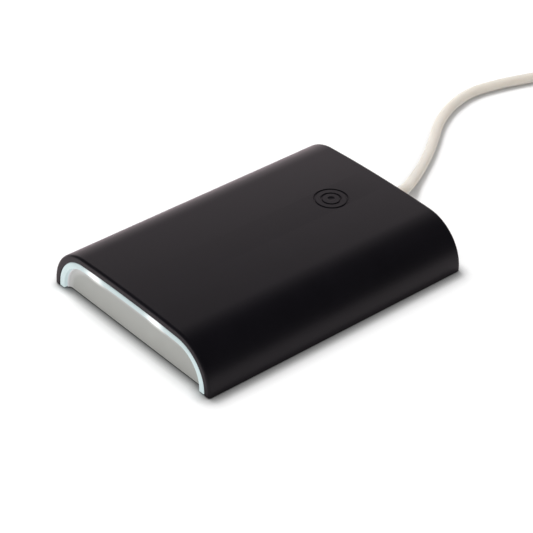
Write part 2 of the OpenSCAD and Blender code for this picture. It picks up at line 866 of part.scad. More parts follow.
module resistors() {
    color([0.16, 0.16, 0.17])
    for (share = resistor_shares)
        on_board(share)
            end_capped(chip_l, chip_w, chip_w / 2);
}

// Inductors: two flanges with a wound core between them
module inductors() {
    flange = coil_part_w / 6;
    color([0.30, 0.29, 0.28])
    for (share = inductor_shares)
        on_board(share) {
            block(coil_part_w, coil_part_w, flange);
            cylinder(r = coil_part_w / 2 - flange, h = 5 * flange);
            translate([0, 0, 4 * flange])
                block(coil_part_w, coil_part_w, flange);
        }
}

// The cable's socket on the board: a box open to the rear, with its pins
module cable_header() {
    color([0.90, 0.88, 0.80])
    translate([0, socket_rear - socket_l, board_top]) {
        difference() {
            translate([-socket_w / 2, 0, 0])
                cube([socket_w, socket_l, socket_h]);
            translate([-crimp_w / 2 - play, socket_wall, socket_wall])
                cube([crimp_w + 2 * play, socket_l, crimp_h + 2 * play]);
        }
        for (x = pin_xs)
            translate([x - pin_w / 2, socket_wall / 2, crimp_z - board_top - pin_w / 2])
                cube([pin_w, pin_l + socket_wall / 2, pin_w]);
    }
}

// The crimp housing on the wires' ends, with a hole for each pin
module header_plug() {
    hole_w = pin_w + 2 * play;
    front = socket_rear - socket_l + socket_wall + play;
    color([0.93, 0.92, 0.88])
    difference() {
        translate([-crimp_w / 2, front, crimp_z - crimp_h / 2])
            cube([crimp_w, crimp_rear - front, crimp_h]);
        for (x = pin_xs)
            translate([x - hole_w / 2, front - over, crimp_z - hole_w / 2])
                cube([hole_w, pin_l + play + over, hole_w]);
    }
}

// One wire from the crimp housing to its place in the jacket's end
module wire(number, shade) {
    x = pin_xs[number];
    across = (number < wires / 2 ? -1 : 1) * wire_offset;
    up = (number == 0 || number == wires - 1 ? -1 : 1) * wire_offset;
    path = [
        [x, crimp_rear, crimp_z],
        [x, crimp_rear + wire_lead, crimp_z],
        [(x + across) / 2, (crimp_rear + jacket_end) / 2, (crimp_z + cable_z + up) / 2],
        [across, jacket_end - wire_lead, cable_z + up],
        [across, jacket_end, cable_z + up]
    ];
    color(shade)
        tube(curve(path, 4), wire_d / 2, wire_sides);
}
module wire_red() { wire(0, [0.70, 0.10, 0.10]); }
module wire_white() { wire(1, [0.90, 0.90, 0.88]); }
module wire_green() { wire(2, [0.12, 0.45, 0.20]); }
module wire_black() { wire(3, [0.10, 0.10, 0.10]); }

// The strain relief: flange inside, neck through the rear panel, collar and grooved taper outside
module cable_strain_relief() {
    inside = rear_back - play;
    color([0.80, 0.77, 0.71])
    translate([0, 0, cable_z])
        difference() {
            union() {
                ring_between(inside - flange_t, inside, flange_r);
                ring_between(inside - play, rear_face + 2 * play, neck_r);
                ring_between(rear_face + play, rear_face + play + collar_t, collar_r);
                translate([0, rear_face + collar_t, 0])
                    facing_rear()
                        cylinder(r1 = neck_r, r2 = sleeve_end_r, h = sleeve_l - collar_t);
            }
            translate([0, inside - flange_t - over, 0])
                facing_rear()
                    cylinder(r = cable_d / 2 + bore_gap, h = sleeve_end - inside + flange_t + 2 * over);
            for (i = [1 : 3])
                translate([0, rear_face + collar_t + play + (2 * i - 1) * groove_w, 0])
                    relief_groove();
        }
}

// A solid round stretch along Y
module ring_between(from, to, r) {
    translate([0, from, 0])
        facing_rear()
            cylinder(r = r, h = to - from);
}

// A groove cut round the strain relief's taper
module relief_groove() {
    facing_rear()
        difference() {
            cylinder(r = neck_r + over, h = groove_w);
            translate([0, 0, -over])
                cylinder(r = sleeve_end_r - groove_depth / 2, h = groove_w + 2 * over);
        }
}

// A screw that points up, its head below
module screw(head_radius, head_height, radius, length) {
    recess_r = head_radius / 2;
    recess_w = head_radius / 4;
    difference() {
        cylinder(r = head_radius, h = head_height);
        for (turn = [0, 90])
            rotate([0, 0, turn])
                translate([-recess_r, -recess_w / 2, -over])
                    cube([2 * recess_r, recess_w, over + head_height / 2]);
    }
    cylinder(r = radius, h = head_height + length - radius);
    translate([0, 0, head_height + length - radius])
        cylinder(r1 = radius, r2 = radius / 3, h = radius);
}

// Four screws from under the tray into the cover's bosses
module housing_screws() {
    color([0.70, 0.70, 0.72])
    for (p = foot_places)
        translate([p[0], p[1], head_top - head_h])
            screw(head_r, head_h, thread_r, thread_l);
}

// Four screws from above through the board into the standoffs
module board_screws() {
    color([0.70, 0.70, 0.72])
    for (p = board_screw_places)
        translate([p[0], p[1], board_top + board_head_h])
            rotate([180, 0, 0])
                screw(board_head_r, board_head_h, board_thread_r, board_screw_l);
}

// A rubber foot with a broken lower edge, seated in the tray over a screw
module foot(sx, sy) {
    bevel = foot_proud / 2;
    color([0.12, 0.12, 0.12])
    translate([sx * foot_x, sy * foot_y, 0]) {
        cylinder(r1 = foot_r - bevel, r2 = foot_r, h = bevel);
        translate([0, 0, bevel])
            cylinder(r = foot_r, h = foot_t - bevel);
    }
}
module foot_front_left() { foot(-1, -1); }
module foot_front_right() { foot(1, -1); }
module foot_rear_left() { foot(-1, 1); }
module foot_rear_right() { foot(1, 1); }

module usb_cable() {
    color([0.85, 0.82, 0.78])
        tube(curve(cable_points, point_steps), cable_d / 2, cable_sides);
}
module usb_cable_coil() {
    color([0.85, 0.82, 0.78])
        tube(coil_path, cable_d / 2, coil_sides);
}
module usb_cable_tail() {
    color([0.85, 0.82, 0.78])
        tube(curve(tail_points, point_steps), cable_d / 2, cable_sides);
}

// The strap round the coil's bundle of turns, on the side towards the reader
module coil_tie() {
    bundle_w = coil_outer_r - coil_inner_r + cable_d;
    bundle_h = (coil_layers - 1) * coil_pitch + cable_d;
    // Room for the turns' bend across the strap's width
    bow = tie_w * tie_w / (8 * coil_inner_r);
    mid_y = coil_y - (coil_outer_r + coil_inner_r) / 2 + bow / 2;
    inner_w = bundle_w + 2 * tie_gap + bow;
    inner_h = bundle_h + 2 * tie_gap;
    color([0.12, 0.12, 0.13])
    translate([coil_x, mid_y, coil_z - cable_d / 2 + bundle_h / 2])
        rotate([90, 0, 90])
            translate([0, 0, -tie_w / 2])
                linear_extrude(tie_w)
                    difference() {
                        polygon(round_rect(inner_w + 2 * tie_t, inner_h + 2 * tie_t, cable_d / 2 + tie_t));
                        polygon(round_rect(inner_w, inner_h, cable_d / 2));
                    }
}

// The plug's grip with finger ridges, and its tapered sleeve
module usb_plug_body() {
    ridges = 5;
    ridge_w = grip_l / (3 * ridges);
    color([0.85, 0.82, 0.78])
    translate([plug_x, 0, plug_z])
        difference() {
            union() {
                along_y(grip_front, grip_rear)
                    polygon(round_rect(grip_w, grip_h, grip_r));
                hull() {
                    along_y(grip_rear - root, grip_rear)
                        polygon(round_rect(grip_w - 2 * grip_r, grip_h - grip_r, grip_r));
                    along_y(plug_y - root, plug_y)
                        circle(r = taper_end_r, $fn = 24);
                }
            }
            for (s = [-1, 1], i = [0 : ridges - 1])
                translate([
                    s * grip_w / 2 - root / 2,
                    grip_front + grip_l / 2 + (i - ridges / 2) * 2 * ridge_w,
                    -grip_h
                ])
                    cube([root, ridge_w, 2 * grip_h]);
        }
}

// The plug's metal shell: a folded sheet tube with four windows and a seam
module usb_plug_shell() {
    corner = 2 * usb_sheet;
    color([0.78, 0.78, 0.80])
    translate([plug_x, 0, plug_z])
        difference() {
            along_y(usb_front, usb_rear)
                polygon(round_rect(usb_w, usb_h, corner));
            along_y(usb_front - over, usb_rear + over)
                polygon(round_rect(usb_w - 2 * usb_sheet, usb_h - 2 * usb_sheet, usb_sheet));
            for (s = [-1, 1])
                translate([s * window_x - window_w / 2, usb_front + window_inset, -usb_h])
                    cube([window_w, window_l, 2 * usb_h]);
            translate([-seam_w / 2, usb_front - over, -usb_h / 2 - over])
                cube([seam_w, usb_l + 2 * over, over + seam_depth]);
        }
}

// The plug's tongue, with a step that holds it in the shell's rear
module usb_plug_tongue() {
    inner_w = usb_w - 2 * (usb_sheet + tongue_gap);
    inner_h = usb_h - 2 * (usb_sheet + tongue_gap);
    block_l = usb_l - 2 * window_inset - window_l;
    color([0.93, 0.93, 0.92])
    translate([plug_x, 0, plug_z]) {
        translate([-inner_w / 2, usb_front + tongue_short, inner_h / 2 - tongue_t])
            cube([inner_w, usb_l - tongue_short, tongue_t]);
        translate([-inner_w / 2, usb_rear - block_l, -inner_h / 2])
            cube([inner_w, block_l, inner_h]);
    }
}

// Four flat contacts under the tongue
module usb_plug_contacts() {
    tongue_low = usb_h / 2 - usb_sheet - tongue_gap - tongue_t;
    color([0.85, 0.68, 0.30])
    translate([plug_x, 0, plug_z])
        for (x = contact_xs)
            translate([x - contact_w / 2, usb_front + 2 * tongue_short, tongue_low - contact_t])
                cube([contact_w, contact_l, contact_t]);
}

top_cover();
base_tray();
light_guide();
circuit_board();
antenna_loop();
rf_chip();
controller_chip();
rf_crystal();
usb_crystal();
voltage_regulator();
led_left();
led_right();
capacitors();
resistors();
inductors();
cable_header();
header_plug();
wire_red();
wire_white();
wire_green();
wire_black();
cable_strain_relief();
housing_screws();
board_screws();
foot_front_left();
foot_front_right();
foot_rear_left();
foot_rear_right();
usb_cable();
usb_cable_coil();
usb_cable_tail();
coil_tie();
usb_plug_body();
usb_plug_shell();
usb_plug_tongue();
usb_plug_contacts();
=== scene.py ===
"""A desktop contactless smart card reader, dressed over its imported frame.

Lengths in fields and arguments are in millimetres, in the row's frame: X across, +Y to the cable end, +Z up.
A rod's size is its radius and its length. OVER is how far a cutter stands past what it cuts, NEAR is how far
a point may lie from a plane to count as on it, and MERGE is how close doubled points lie.
"""

import json
import logging
import math
from dataclasses import dataclass
from enum import Enum
from typing import Callable, Sequence

import bmesh
import bpy
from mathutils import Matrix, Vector

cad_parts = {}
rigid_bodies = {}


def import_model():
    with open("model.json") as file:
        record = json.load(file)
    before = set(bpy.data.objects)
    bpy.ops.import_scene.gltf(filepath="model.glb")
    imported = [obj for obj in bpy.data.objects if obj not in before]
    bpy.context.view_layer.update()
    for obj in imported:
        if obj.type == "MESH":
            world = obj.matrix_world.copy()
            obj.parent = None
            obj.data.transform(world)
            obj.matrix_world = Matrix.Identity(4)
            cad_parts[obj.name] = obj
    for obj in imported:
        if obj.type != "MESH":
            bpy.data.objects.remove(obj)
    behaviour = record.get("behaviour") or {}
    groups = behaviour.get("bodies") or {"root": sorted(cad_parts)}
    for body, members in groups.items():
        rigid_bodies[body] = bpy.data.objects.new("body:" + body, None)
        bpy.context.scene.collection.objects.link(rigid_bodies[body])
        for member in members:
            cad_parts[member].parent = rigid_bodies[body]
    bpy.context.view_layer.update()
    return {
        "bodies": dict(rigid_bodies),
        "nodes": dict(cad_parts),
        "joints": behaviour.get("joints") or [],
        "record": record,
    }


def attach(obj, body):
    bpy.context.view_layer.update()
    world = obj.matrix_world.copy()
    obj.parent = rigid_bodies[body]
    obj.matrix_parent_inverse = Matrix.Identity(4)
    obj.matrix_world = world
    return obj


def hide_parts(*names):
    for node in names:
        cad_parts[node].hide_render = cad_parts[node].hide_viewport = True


MM = 0.001
LOG = logging.getLogger("card_reader")

Colour = tuple[float, float, float]
Point = tuple[float, float, float]
Pair = tuple[float, float]
Piece = bpy.types.Object
Test = Callable[[Vector, Vector], bool]

WHITE: Colour = (1.0, 1.0, 1.0)
BLACK: Colour = (0.0, 0.0, 0.0)
X, Y, Z = range(3)
SIDES = (-1, 1)
OVER = 1.0
NEAR = 0.01
MERGE = 0.002

# Places and sizes that several pieces share
SCREWS: Pair = (25.0, 38.5)
LAMPS: Pair = (14.5, -42.6)
LIT_RIM: Pair = (4.55, 4.8)
CABLE_Z = 6.4


class Fit(Enum):
    """How a second mesh is worked into a piece."""

    CUT = "DIFFERENCE"
    WELD = "UNION"


def runs(axis: int) -> Test:
    """Return a test for edges that run along an axis."""
    return lambda a, b: abs(a[axis] - b[axis]) > 1.0


def looks(axis: int) -> Test:
    """Return a test for faces that look along an axis, one way or the other."""
    return lambda middle, normal: abs(normal[axis]) > 0.9


def corners(place: Pair) -> list[Pair]:
    """Return the four places that mirror one place about the two middle lines."""
    x, y = place
    return [(side * x, end * y) for side in SIDES for end in SIDES]


def quarter(across: float, along: float, steps: int) -> list[Pair]:
    """Return how far a rounded edge lies in from its two faces, along its quarter of an ellipse.

    Args:
        across: The rounding's reach over the end face.
        along: Its reach along the side face.
        steps: Its stretches.

    Returns:
        Pairs of the inset and the setback, from the end face to the side face.
    """
    turns = [math.pi / 2 * i / steps for i in range(steps, -1, -1)]
    return [(across * (1 - math.cos(a)), along * (1 - math.sin(a))) for a in turns]


def link(name: str, data: bpy.types.ID) -> Piece:
    """Return a new object of a curve, lamp or camera, put in the scene."""
    made = bpy.data.objects.new(name, data)
    bpy.context.scene.collection.objects.link(made)
    return made


class Bench:
    """Modelling steps that the pieces share, each made of operators on one object."""

    @staticmethod
    def clear() -> None:
        """Leave edit mode and deselect everything."""
        active = bpy.context.view_layer.objects.active
        if active and active.mode != "OBJECT":
            bpy.ops.object.mode_set(mode="OBJECT")
        bpy.ops.object.select_all(action="DESELECT")

    @classmethod
    def take(cls, piece: Piece) -> None:
        """Make a piece the only selected object and the active one."""
        cls.clear()
        piece.select_set(True)
        bpy.context.view_layer.objects.active = piece

    @classmethod
    def settle(cls, name: str) -> Piece:
        """Name the new primitive and put its place, turn and size into its mesh.

        Args:
            name: The piece's name.

        Returns:
            The object, at the origin.
        """
        bpy.ops.object.transform_apply(location=True, rotation=True, scale=True)
        piece = bpy.context.view_layer.objects.active
        piece.name = piece.data.name = name
        return piece

    @classmethod
    def block(cls, name: str, low: Point, high: Point) -> Piece:
        """Add a cube between two corners.

        Args:
            name: The piece's name.
            low: Its lowest corner.
            high: Its highest corner.

        Returns:
            The new object.
        """
        cls.clear()
        a, b = Vector(low) * MM, Vector(high) * MM
        bpy.ops.mesh.primitive_cube_add(size=1, location=(a + b) / 2)
        bpy.context.view_layer.objects.active.scale = b - a
        return cls.settle(name)

    @classmethod
    def beam(cls, name: str, half: float, along: Pair, up: Pair) -> Piece:
        """Add a cube that lies across the housing's middle line.

        Args:
            name: The piece's name.
            half: Half its width across.
            along: Its front and rear.
            up: Its underside and top.

        Returns:
            The new object.
        """
        (front, rear), (low, high) = along, up
        return cls.block(name, (-half, front, low), (half, rear, high))

    @classmethod
    def rod(cls, name: str, start: Point, size: Pair, sides: int = 64,
            lengthwise: bool = False) -> Piece:
        """Add a cylinder that stands up from a point, or runs from it along +Y.

        Args:
            name: The piece's name.
            start: The middle of its lower or front end.
            size: Its radius and its length.
            sides: Number of sides.
            lengthwise: Whether it runs along Y.

        Returns:
            The new object.
        """
        cls.clear()
        radius, length = size
        way = Vector((0, 1, 0)) if lengthwise else Vector((0, 0, 1))
        bpy.ops.mesh.primitive_cylinder_add(
            vertices=sides, radius=radius * MM, depth=length * MM,
            location=(Vector(start) + way * length / 2) * MM,
            rotation=(math.radians(90) if lengthwise else 0, 0, 0))
        return cls.settle(name)

    @classmethod
    def pick(cls, piece: Piece, kind: str, test: Test) -> None:
        """Go into edit mode and select the faces or edges that a test accepts.

        Args:
            piece: The object to edit.
            kind: FACE or EDGE.
            test: For a face, takes its middle and its normal; for an edge, its two ends.
        """
        cls.take(piece)
        bpy.ops.object.mode_set(mode="EDIT")
        bpy.ops.mesh.select_mode(type=kind)
        bpy.ops.mesh.select_all(action="DESELECT")
        form = bmesh.from_edit_mesh(piece.data)
        if kind == "FACE":
            chosen = [f for f in form.faces if test(f.calc_center_median() / MM, f.normal)]
        else:
            chosen = [e for e in form.edges if test(e.verts[0].co / MM, e.verts[1].co / MM)]
        for part in chosen:
            part.select_set(True)
        bmesh.update_edit_mesh(piece.data)

    @classmethod
    def round_edges(cls, piece: Piece, width: float, steps: int, test: Test) -> None:
        """Bevel the edges that a test on their two ends accepts.

        Args:
            piece: The object to edit.
            width: Width of the bevel.
            steps: Its segments.
            test: Takes an edge's two ends.
        """
        cls.pick(piece, "EDGE", test)
        bpy.ops.mesh.bevel(offset=width * MM, segments=steps, profile=0.5, affect="EDGES")
        bpy.ops.object.mode_set(mode="OBJECT")

    @classmethod
    def drop_faces(cls, piece: Piece, test: Test) -> None:
        """Delete the faces that a test on their middle and normal accepts."""
        cls.pick(piece, "FACE", test)
        bpy.ops.mesh.delete(type="FACE")
        bpy.ops.object.mode_set(mode="OBJECT")

    @classmethod
    def modify(cls, piece: Piece, kind: str, **settings: object) -> None:
        """Add a modifier, set it and apply it.

        Args:
            piece: The object to change.
            kind: The modifier's type.
            **settings: Its settings.
        """
        cls.take(piece)
        modifier = piece.modifiers.new(kind.title(), kind)
        for key, value in settings.items():
            setattr(modifier, key, value)
        bpy.ops.object.modifier_apply(modifier=modifier.name)

    @classmethod
    def work(cls, piece: Piece, fit: Fit, tools: Sequence[Piece]) -> None:
        """Cut other meshes out of a piece, or weld them to it, and throw them away.

        Args:
            piece: The object to change.
            fit: Whether to cut or to weld.
            tools: The other meshes.
        """
        for tool in tools:
            cls.modify(piece, "BOOLEAN", object=tool, operation=fit.value, solver="EXACT")
            bpy.data.objects.remove(tool, do_unlink=True)

    @classmethod
    def gather(cls, piece: Piece, others: Sequence[Piece]) -> None:
        """Join other meshes into a piece."""
        cls.take(piece)
        for other in others:
            other.select_set(True)
        bpy.ops.object.join()

    @classmethod
    def close(cls, piece: Piece, angle: float = 32.0) -> None:
        """Merge doubled points, turn the faces outwards and smooth what is nearly flat.

        Args:
            piece: The finished mesh.
            angle: Edges sharper than this many degrees stay sharp.
        """
        cls.take(piece)
        bpy.ops.object.mode_set(mode="EDIT")
        bpy.ops.mesh.select_all(action="SELECT")
        bpy.ops.mesh.remove_doubles(threshold=MERGE * MM)
        bpy.ops.mesh.normals_make_consistent(inside=False)
        bpy.ops.object.mode_set(mode="OBJECT")
        bpy.ops.object.shade_smooth_by_angle(angle=math.radians(angle))


class Pencil:
    """Draws chains of points inside one mesh with extrude and spin."""

    def __init__(self, name: str) -> None:
        """Start an empty mesh object and go into edit mode.

        Args:
            name: The piece's name.
        """
        Bench.clear()
        bpy.ops.mesh.primitive_plane_add(size=MM)
        self.piece = bpy.context.view_layer.objects.active
        self.piece.name = self.piece.data.name = name
        bpy.ops.object.mode_set(mode="EDIT")
        bpy.ops.mesh.select_mode(type="VERT")
        bpy.ops.mesh.select_all(action="SELECT")
        bpy.ops.mesh.delete(type="VERT")
        self.chains: list[tuple[int, int]] = []

    def _count(self) -> int:
        """Return how many points the mesh has."""
        return len(bmesh.from_edit_mesh(self.piece.data).verts)

    def start(self, place: Point) -> None:
        """Begin a chain with one selected point."""
        self.chains.append((self._count(), 0))
        bpy.ops.mesh.select_all(action="DESELECT")
        bpy.ops.mesh.primitive_plane_add(size=MM, location=Vector(place) * MM)
        bpy.ops.mesh.merge(type="CENTER")

    def line(self, step: Point) -> None:
        """Extrude the chain's last point by a step."""
        bpy.ops.mesh.extrude_vertices_move(TRANSFORM_OT_translate={"value": Vector(step) * MM})

    def trace(self, points: Sequence[Point]) -> None:
        """Draw a whole chain through these points."""
        self.start(points[0])
        for here, there in zip(points, points[1:]):
            self.line(tuple(b - a for a, b in zip(here, there)))
        self.end()

    def arc(self, centre: Point, degrees: float, steps: int) -> None:
        """Spin the chain's last point about a line along Y.

        Args:
            centre: A point of that line.
            degrees: How far it turns about +Y, by the right-hand rule.
            steps: Its stretches.
        """
        bpy.ops.mesh.spin(steps=steps, angle=-math.radians(degrees), center=Vector(centre) * MM,
                          axis=(0, 1, 0))

    def end(self) -> None:
        """Finish the chain."""
        self.chains[-1] = (self.chains[-1][0], self._count())

    def _select(self, wanted: Sequence[int], ends_only: bool = False) -> None:
        """Select the chains of these numbers, or only the two end points of each.

        Args:
            wanted: Numbers of the chains.
            ends_only: Whether only the end points are selected.
        """
        bpy.ops.mesh.select_all(action="DESELECT")
        form = bmesh.from_edit_mesh(self.piece.data)
        form.verts.ensure_lookup_table()
        spans = [self.chains[i] for i in wanted]
        for low, high in spans:
            for vert in form.verts[low:high]:
                own = sum(1 for e in vert.link_edges if low <= e.other_vert(vert).index < high)
                if not ends_only or own < 2:
                    vert.select_set(True)
        if not ends_only:
            for edge in form.edges:
                i, j = (v.index for v in edge.verts)
                if any(low <= i < high and low <= j < high for low, high in spans):
                    edge.select_set(True)
        bmesh.update_edit_mesh(self.piece.data)

    def _finish(self) -> Piece:
        """Turn the faces outwards, leave edit mode and return the object."""
        bpy.ops.mesh.select_all(action="SELECT")
        bpy.ops.mesh.normals_make_consistent(inside=False)
        bpy.ops.object.mode_set(mode="OBJECT")
        return self.piece

    def loft(self, ring: bool) -> Piece:
        """Bridge the chains in order into a closed solid.

        Args:
            ring: Whether the open chains follow each other all the way round, back to the first. If not,
                each chain is closed first and the first and last are capped.

        Returns:
            The finished object.
        """
        total = len(self.chains)
        if not ring:
            for i in range(total):
                self._select([i], ends_only=True)
                bpy.ops.mesh.edge_face_add()
        bpy.ops.mesh.select_mode(type="EDGE")
        for i in range(total if ring else total - 1):
            self._select([i, (i + 1) % total])
            bpy.ops.mesh.bridge_edge_loops()
        bpy.ops.mesh.select_all(action="SELECT")
        bpy.ops.mesh.fill_holes(sides=0)
        return self._finish()

    def lathe(self, centre: Point, axis: Point, steps: int) -> Piece:
        """Spin everything that was drawn once round an axis.

        Args:
            centre: A point of the axis.
            axis: The axis.
            steps: Stretches of the full turn.

        Returns:
            The finished object.
        """
        bpy.ops.mesh.select_all(action="SELECT")
        bpy.ops.mesh.spin(steps=steps, angle=2 * math.pi, center=Vector(centre) * MM, axis=axis)
        bpy.ops.mesh.select_all(action="SELECT")
        bpy.ops.mesh.remove_doubles(threshold=MERGE * MM)
        return self._finish()


class Signal:
    """A value inside a material or a world. Arithmetic on it adds Math nodes."""

    def __init__(self, graph: "Graph", socket: bpy.types.NodeSocket) -> None:
        """Wrap a node's output."""
        self.graph = graph
        self.socket = socket

    def _math(self, operation: str, *values: "Signal | float") -> "Signal":
        """Return the Math node of these values."""
        return self.graph.node("ShaderNodeMath", {"operation": operation}, dict(enumerate(values)))

    def __add__(self, other: "Signal | float") -> "Signal":
        """Return self + other."""
        return self._math("ADD", self, other)

    __radd__ = __add__

    def __sub__(self, other: "Signal | float") -> "Signal":
        """Return self - other."""
        return self._math("SUBTRACT", self, other)

    def __rsub__(self, other: float) -> "Signal":
        """Return other - self."""
        return self._math("SUBTRACT", other, self)

    def __mul__(self, other: "Signal | float") -> "Signal":
        """Return self * other."""
        return self._math("MULTIPLY", self, other)

    __rmul__ = __mul__

    def __truediv__(self, other: "Signal | float") -> "Signal":
        """Return self / other."""
        return self._math("DIVIDE", self, other)

    def __rtruediv__(self, other: float) -> "Signal":
        """Return other / self."""
        return self._math("DIVIDE", other, self)

    def __pow__(self, other: "Signal | float") -> "Signal":
        """Return self to the power other."""
        return self._math("POWER", self, other)

    def __abs__(self) -> "Signal":
        """Return the distance from zero."""
        return self._math("ABSOLUTE", self)

    def sine(self) -> "Signal":
        """Return the sine of self."""
        return self._math("SINE", self)

    def least(self, other: "Signal | float") -> "Signal":
        """Return the smaller of self and other."""
        return self._math("MINIMUM", self, other)

    def most(self, other: "Signal | float") -> "Signal":
        """Return the larger of self and other."""
        return self._math("MAXIMUM", self, other)

    def rise(self, low: float, high: float) -> "Signal":
        """Return a smooth step from 0 at low to 1 at high."""
        return self.graph.node(
            "ShaderNodeMapRange", {"interpolation_type": "SMOOTHSTEP"},
            {"Value": self, "From Min": low, "From Max": high, "To Min": 0.0, "To Max": 1.0})


class Graph:
    """The shader nodes of a material or a world."""

    def __init__(self, tree: bpy.types.NodeTree, output: str) -> None:
        """Take a tree of nodes.

        Args:
            tree: The nodes.
            output: The name of its output node.
        """
        self.tree = tree
        self.surface = tree.nodes[output].inputs["Surface"]

    def node(self, kind: str, settings: dict[str, object] | None = None,
             inputs: dict[int | str, object] | None = None, output: int | str = 0) -> Signal:
        """Add a node.

        Args:
            kind: The node's type.
            settings: What is set on it first.
            inputs: Values or signals for its sockets.
            output: The output that is wanted.

        Returns:
            That output as a signal.
        """
        made = self.tree.nodes.new(kind)
        for key, value in (settings or {}).items():
            setattr(made, key, value)
        for key, value in (inputs or {}).items():
            self.feed(made.inputs[key], value)
        return Signal(self, made.outputs[output])

    def feed(self, socket: bpy.types.NodeSocket, value: object) -> None:
        """Link a signal to a socket, or set the socket to a value.

        Args:
            socket: The input.
            value: A signal, a number or a colour.
        """
        if isinstance(value, Signal):
            self.tree.links.new(value.socket, socket)
        elif isinstance(value, tuple) and len(value) == 3 and len(socket.default_value) == 4:
            socket.default_value = (*value, 1.0)
        else:
            socket.default_value = value

    def ray(self, kind: str) -> Signal:
        """Return 1 for a ray of one kind, such as Camera, and 0 for any other."""
        return self.node("ShaderNodeLightPath", output=f"Is {kind} Ray")

    def looked_at(self) -> Signal:
        """Return 1 where the camera looks, also in a reflection or through a clear piece."""
        return self.ray("Camera").most(self.ray("Glossy")).most(self.ray("Transmission"))

    def mix(self, mask: Signal, first: Signal, second: Signal) -> Signal:
        """Return a shader that goes from the first to the second with the mask."""
        return self.node("ShaderNodeMixShader", {}, {0: mask, 1: first, 2: second})


class Recipe(Graph):
    """A material with one Principled shader, built node by node."""

    def __init__(self, name: str) -> None:
        """Start the material.

        Args:
            name: The material's name.
        """
        self.material = bpy.data.materials.new(name)
        self.material.use_nodes = True
        super().__init__(self.material.node_tree, "Material Output")
        self.shader = self.tree.nodes["Principled BSDF"]

    def dress(self, **sockets: object) -> None:
        """Feed the shader's sockets; an underscore in a name stands for a space."""
        for name, value in sockets.items():
            self.feed(self.shader.inputs[name.replace("_", " ")], value)

    def place(self) -> Signal:
        """Return the point on the object, in metres in the row's frame."""
        return self.node("ShaderNodeTexCoord", output="Object")

    def axis(self, where: Signal, letter: str) -> Signal:
        """Return one coordinate of a point, in millimetres."""
        return self.node("ShaderNodeSeparateXYZ", inputs={0: where}, output=letter) / MM

    def stretch(self, where: Signal, scale: Point) -> Signal:
        """Return a point with its coordinates scaled, to draw a pattern out along an axis."""
        return self.node("ShaderNodeVectorMath", {"operation": "MULTIPLY"}, {0: where, 1: Vector(scale)})

    def noise(self, where: Signal, size: float, detail: float) -> Signal:
        """Return soft noise from 0 to 1 with features of a size in millimetres and this many finer levels."""
        return self.node("ShaderNodeTexNoise", {},
                         {"Vector": where, "Scale": 1 / (size * MM), "Detail": detail})

    def cells(self, where: Signal, size: float) -> Signal:
        """Return the distance pattern of cells with a size in millimetres."""
        return self.node("ShaderNodeTexVoronoi", {}, {"Vector": where, "Scale": 1 / (size * MM)})

    def blend(self, mask: Signal | float, first: Signal | Colour, second: Signal | Colour) -> Signal:
        """Return a colour that goes from the first to the second with the mask."""
        return self.node("ShaderNodeMix", {"data_type": "RGBA"}, {0: mask, 6: first, 7: second}, 2)

    def bump(self, height: Signal, depth: float) -> Signal:
        """Return a normal for a height from 0 to 1 that stands for a depth in millimetres."""
        return self.node("ShaderNodeBump", {}, {"Height": height, "Distance": depth * MM, "Strength": 1.0})


def shade(colour: Colour, factor: float) -> Colour:
    """Return a colour made lighter or darker by a factor."""
    return tuple(min(1.0, c * factor) for c in colour)


@dataclass(frozen=True)
class Arch:
    """The housing's section, seen from an end: straight legs, round shoulders and a shallow crown."""

    half_width: float = 37.0
    top: float = 16.6
    shoulder: float = 15.0
    crown: float = 500.0
    shoulder_steps: int = 22
    crown_steps: int = 40

    def corner(self, top_in: float, leg_in: float) -> tuple[float, float, float, float]:
        """Find the right shoulder of a section that lies inside the cover's outside.

        Args:
            top_in: How far its top lies inside.
            leg_in: How far its legs lie inside.

        Returns:
            The shoulder's middle across and up, its radius, and half the crown's angle in degrees.
        """
        r = self.shoulder - (top_in + leg_in) / 2
        x = self.half_width - leg_in - r
        reach = self.crown - top_in - r
        tilt = math.asin(x / reach)
        return x, self.top - self.crown + reach * math.cos(tilt), r, math.degrees(tilt)

    def depth(self, recipe: Recipe, where: Signal, insets: Pair) -> Signal:
        """Return how deep a point of a material lies inside a section, in millimetres.

        Args:
            recipe: The material.
            where: The point.
            insets: How far the section's top and its legs lie inside the cover's outside.

        Returns:
            The depth.
        """
        x, z, r, _ = self.corner(*insets)
        across = abs(recipe.axis(where, "X"))
        near = across.least(x)
        flat = recipe.axis(where, "Z") - (x * x - near * near) / (2 * (self.crown - insets[0]))
        dx, dz = (across - x).most(0.0), (flat - z).most(0.0)
        return r - (dx * dx + dz * dz) ** 0.5

    def draw(self, pencil: Pencil, top_in: float, leg_in: float, y: float, base: float) -> None:
        """Draw the section as one chain.

        Args:
            pencil: What draws it.
            top_in: How far its top lies inside the cover's outside.
            leg_in: How far its legs lie inside the cover's outside.
            y: Its place along the housing.
            base: Height of its two ends.
        """
        x, z, r, turn = self.corner(top_in, leg_in)
        pencil.start((x + r, y, base))
        pencil.line((0, 0, z - base))
        pencil.arc((x, y, z), turn - 90, self.shoulder_steps)
        pencil.arc((0, y, self.top - self.crown), -2 * turn, self.crown_steps)
        pencil.arc((-x, y, z), turn - 90, self.shoulder_steps)
        pencil.line((0, 0, base - z))
        pencil.end()

    def loft(self, name: str, stations: Sequence[tuple[float, float, float]], base: float,
             ring: bool) -> Piece:
        """Make a solid from sections along the housing.

        Args:
            name: The piece's name.
            stations: Top inset, leg inset and place along Y of each section.
            base: Height of the sections' ends.
            ring: Whether the sections run round a hollow arch; if not, they are full and capped.

        Returns:
            The new object.
        """
        pencil = Pencil(name)
        for top_in, leg_in, y in stations:
            self.draw(pencil, top_in, leg_in, y, base)
        return pencil.loft(ring)


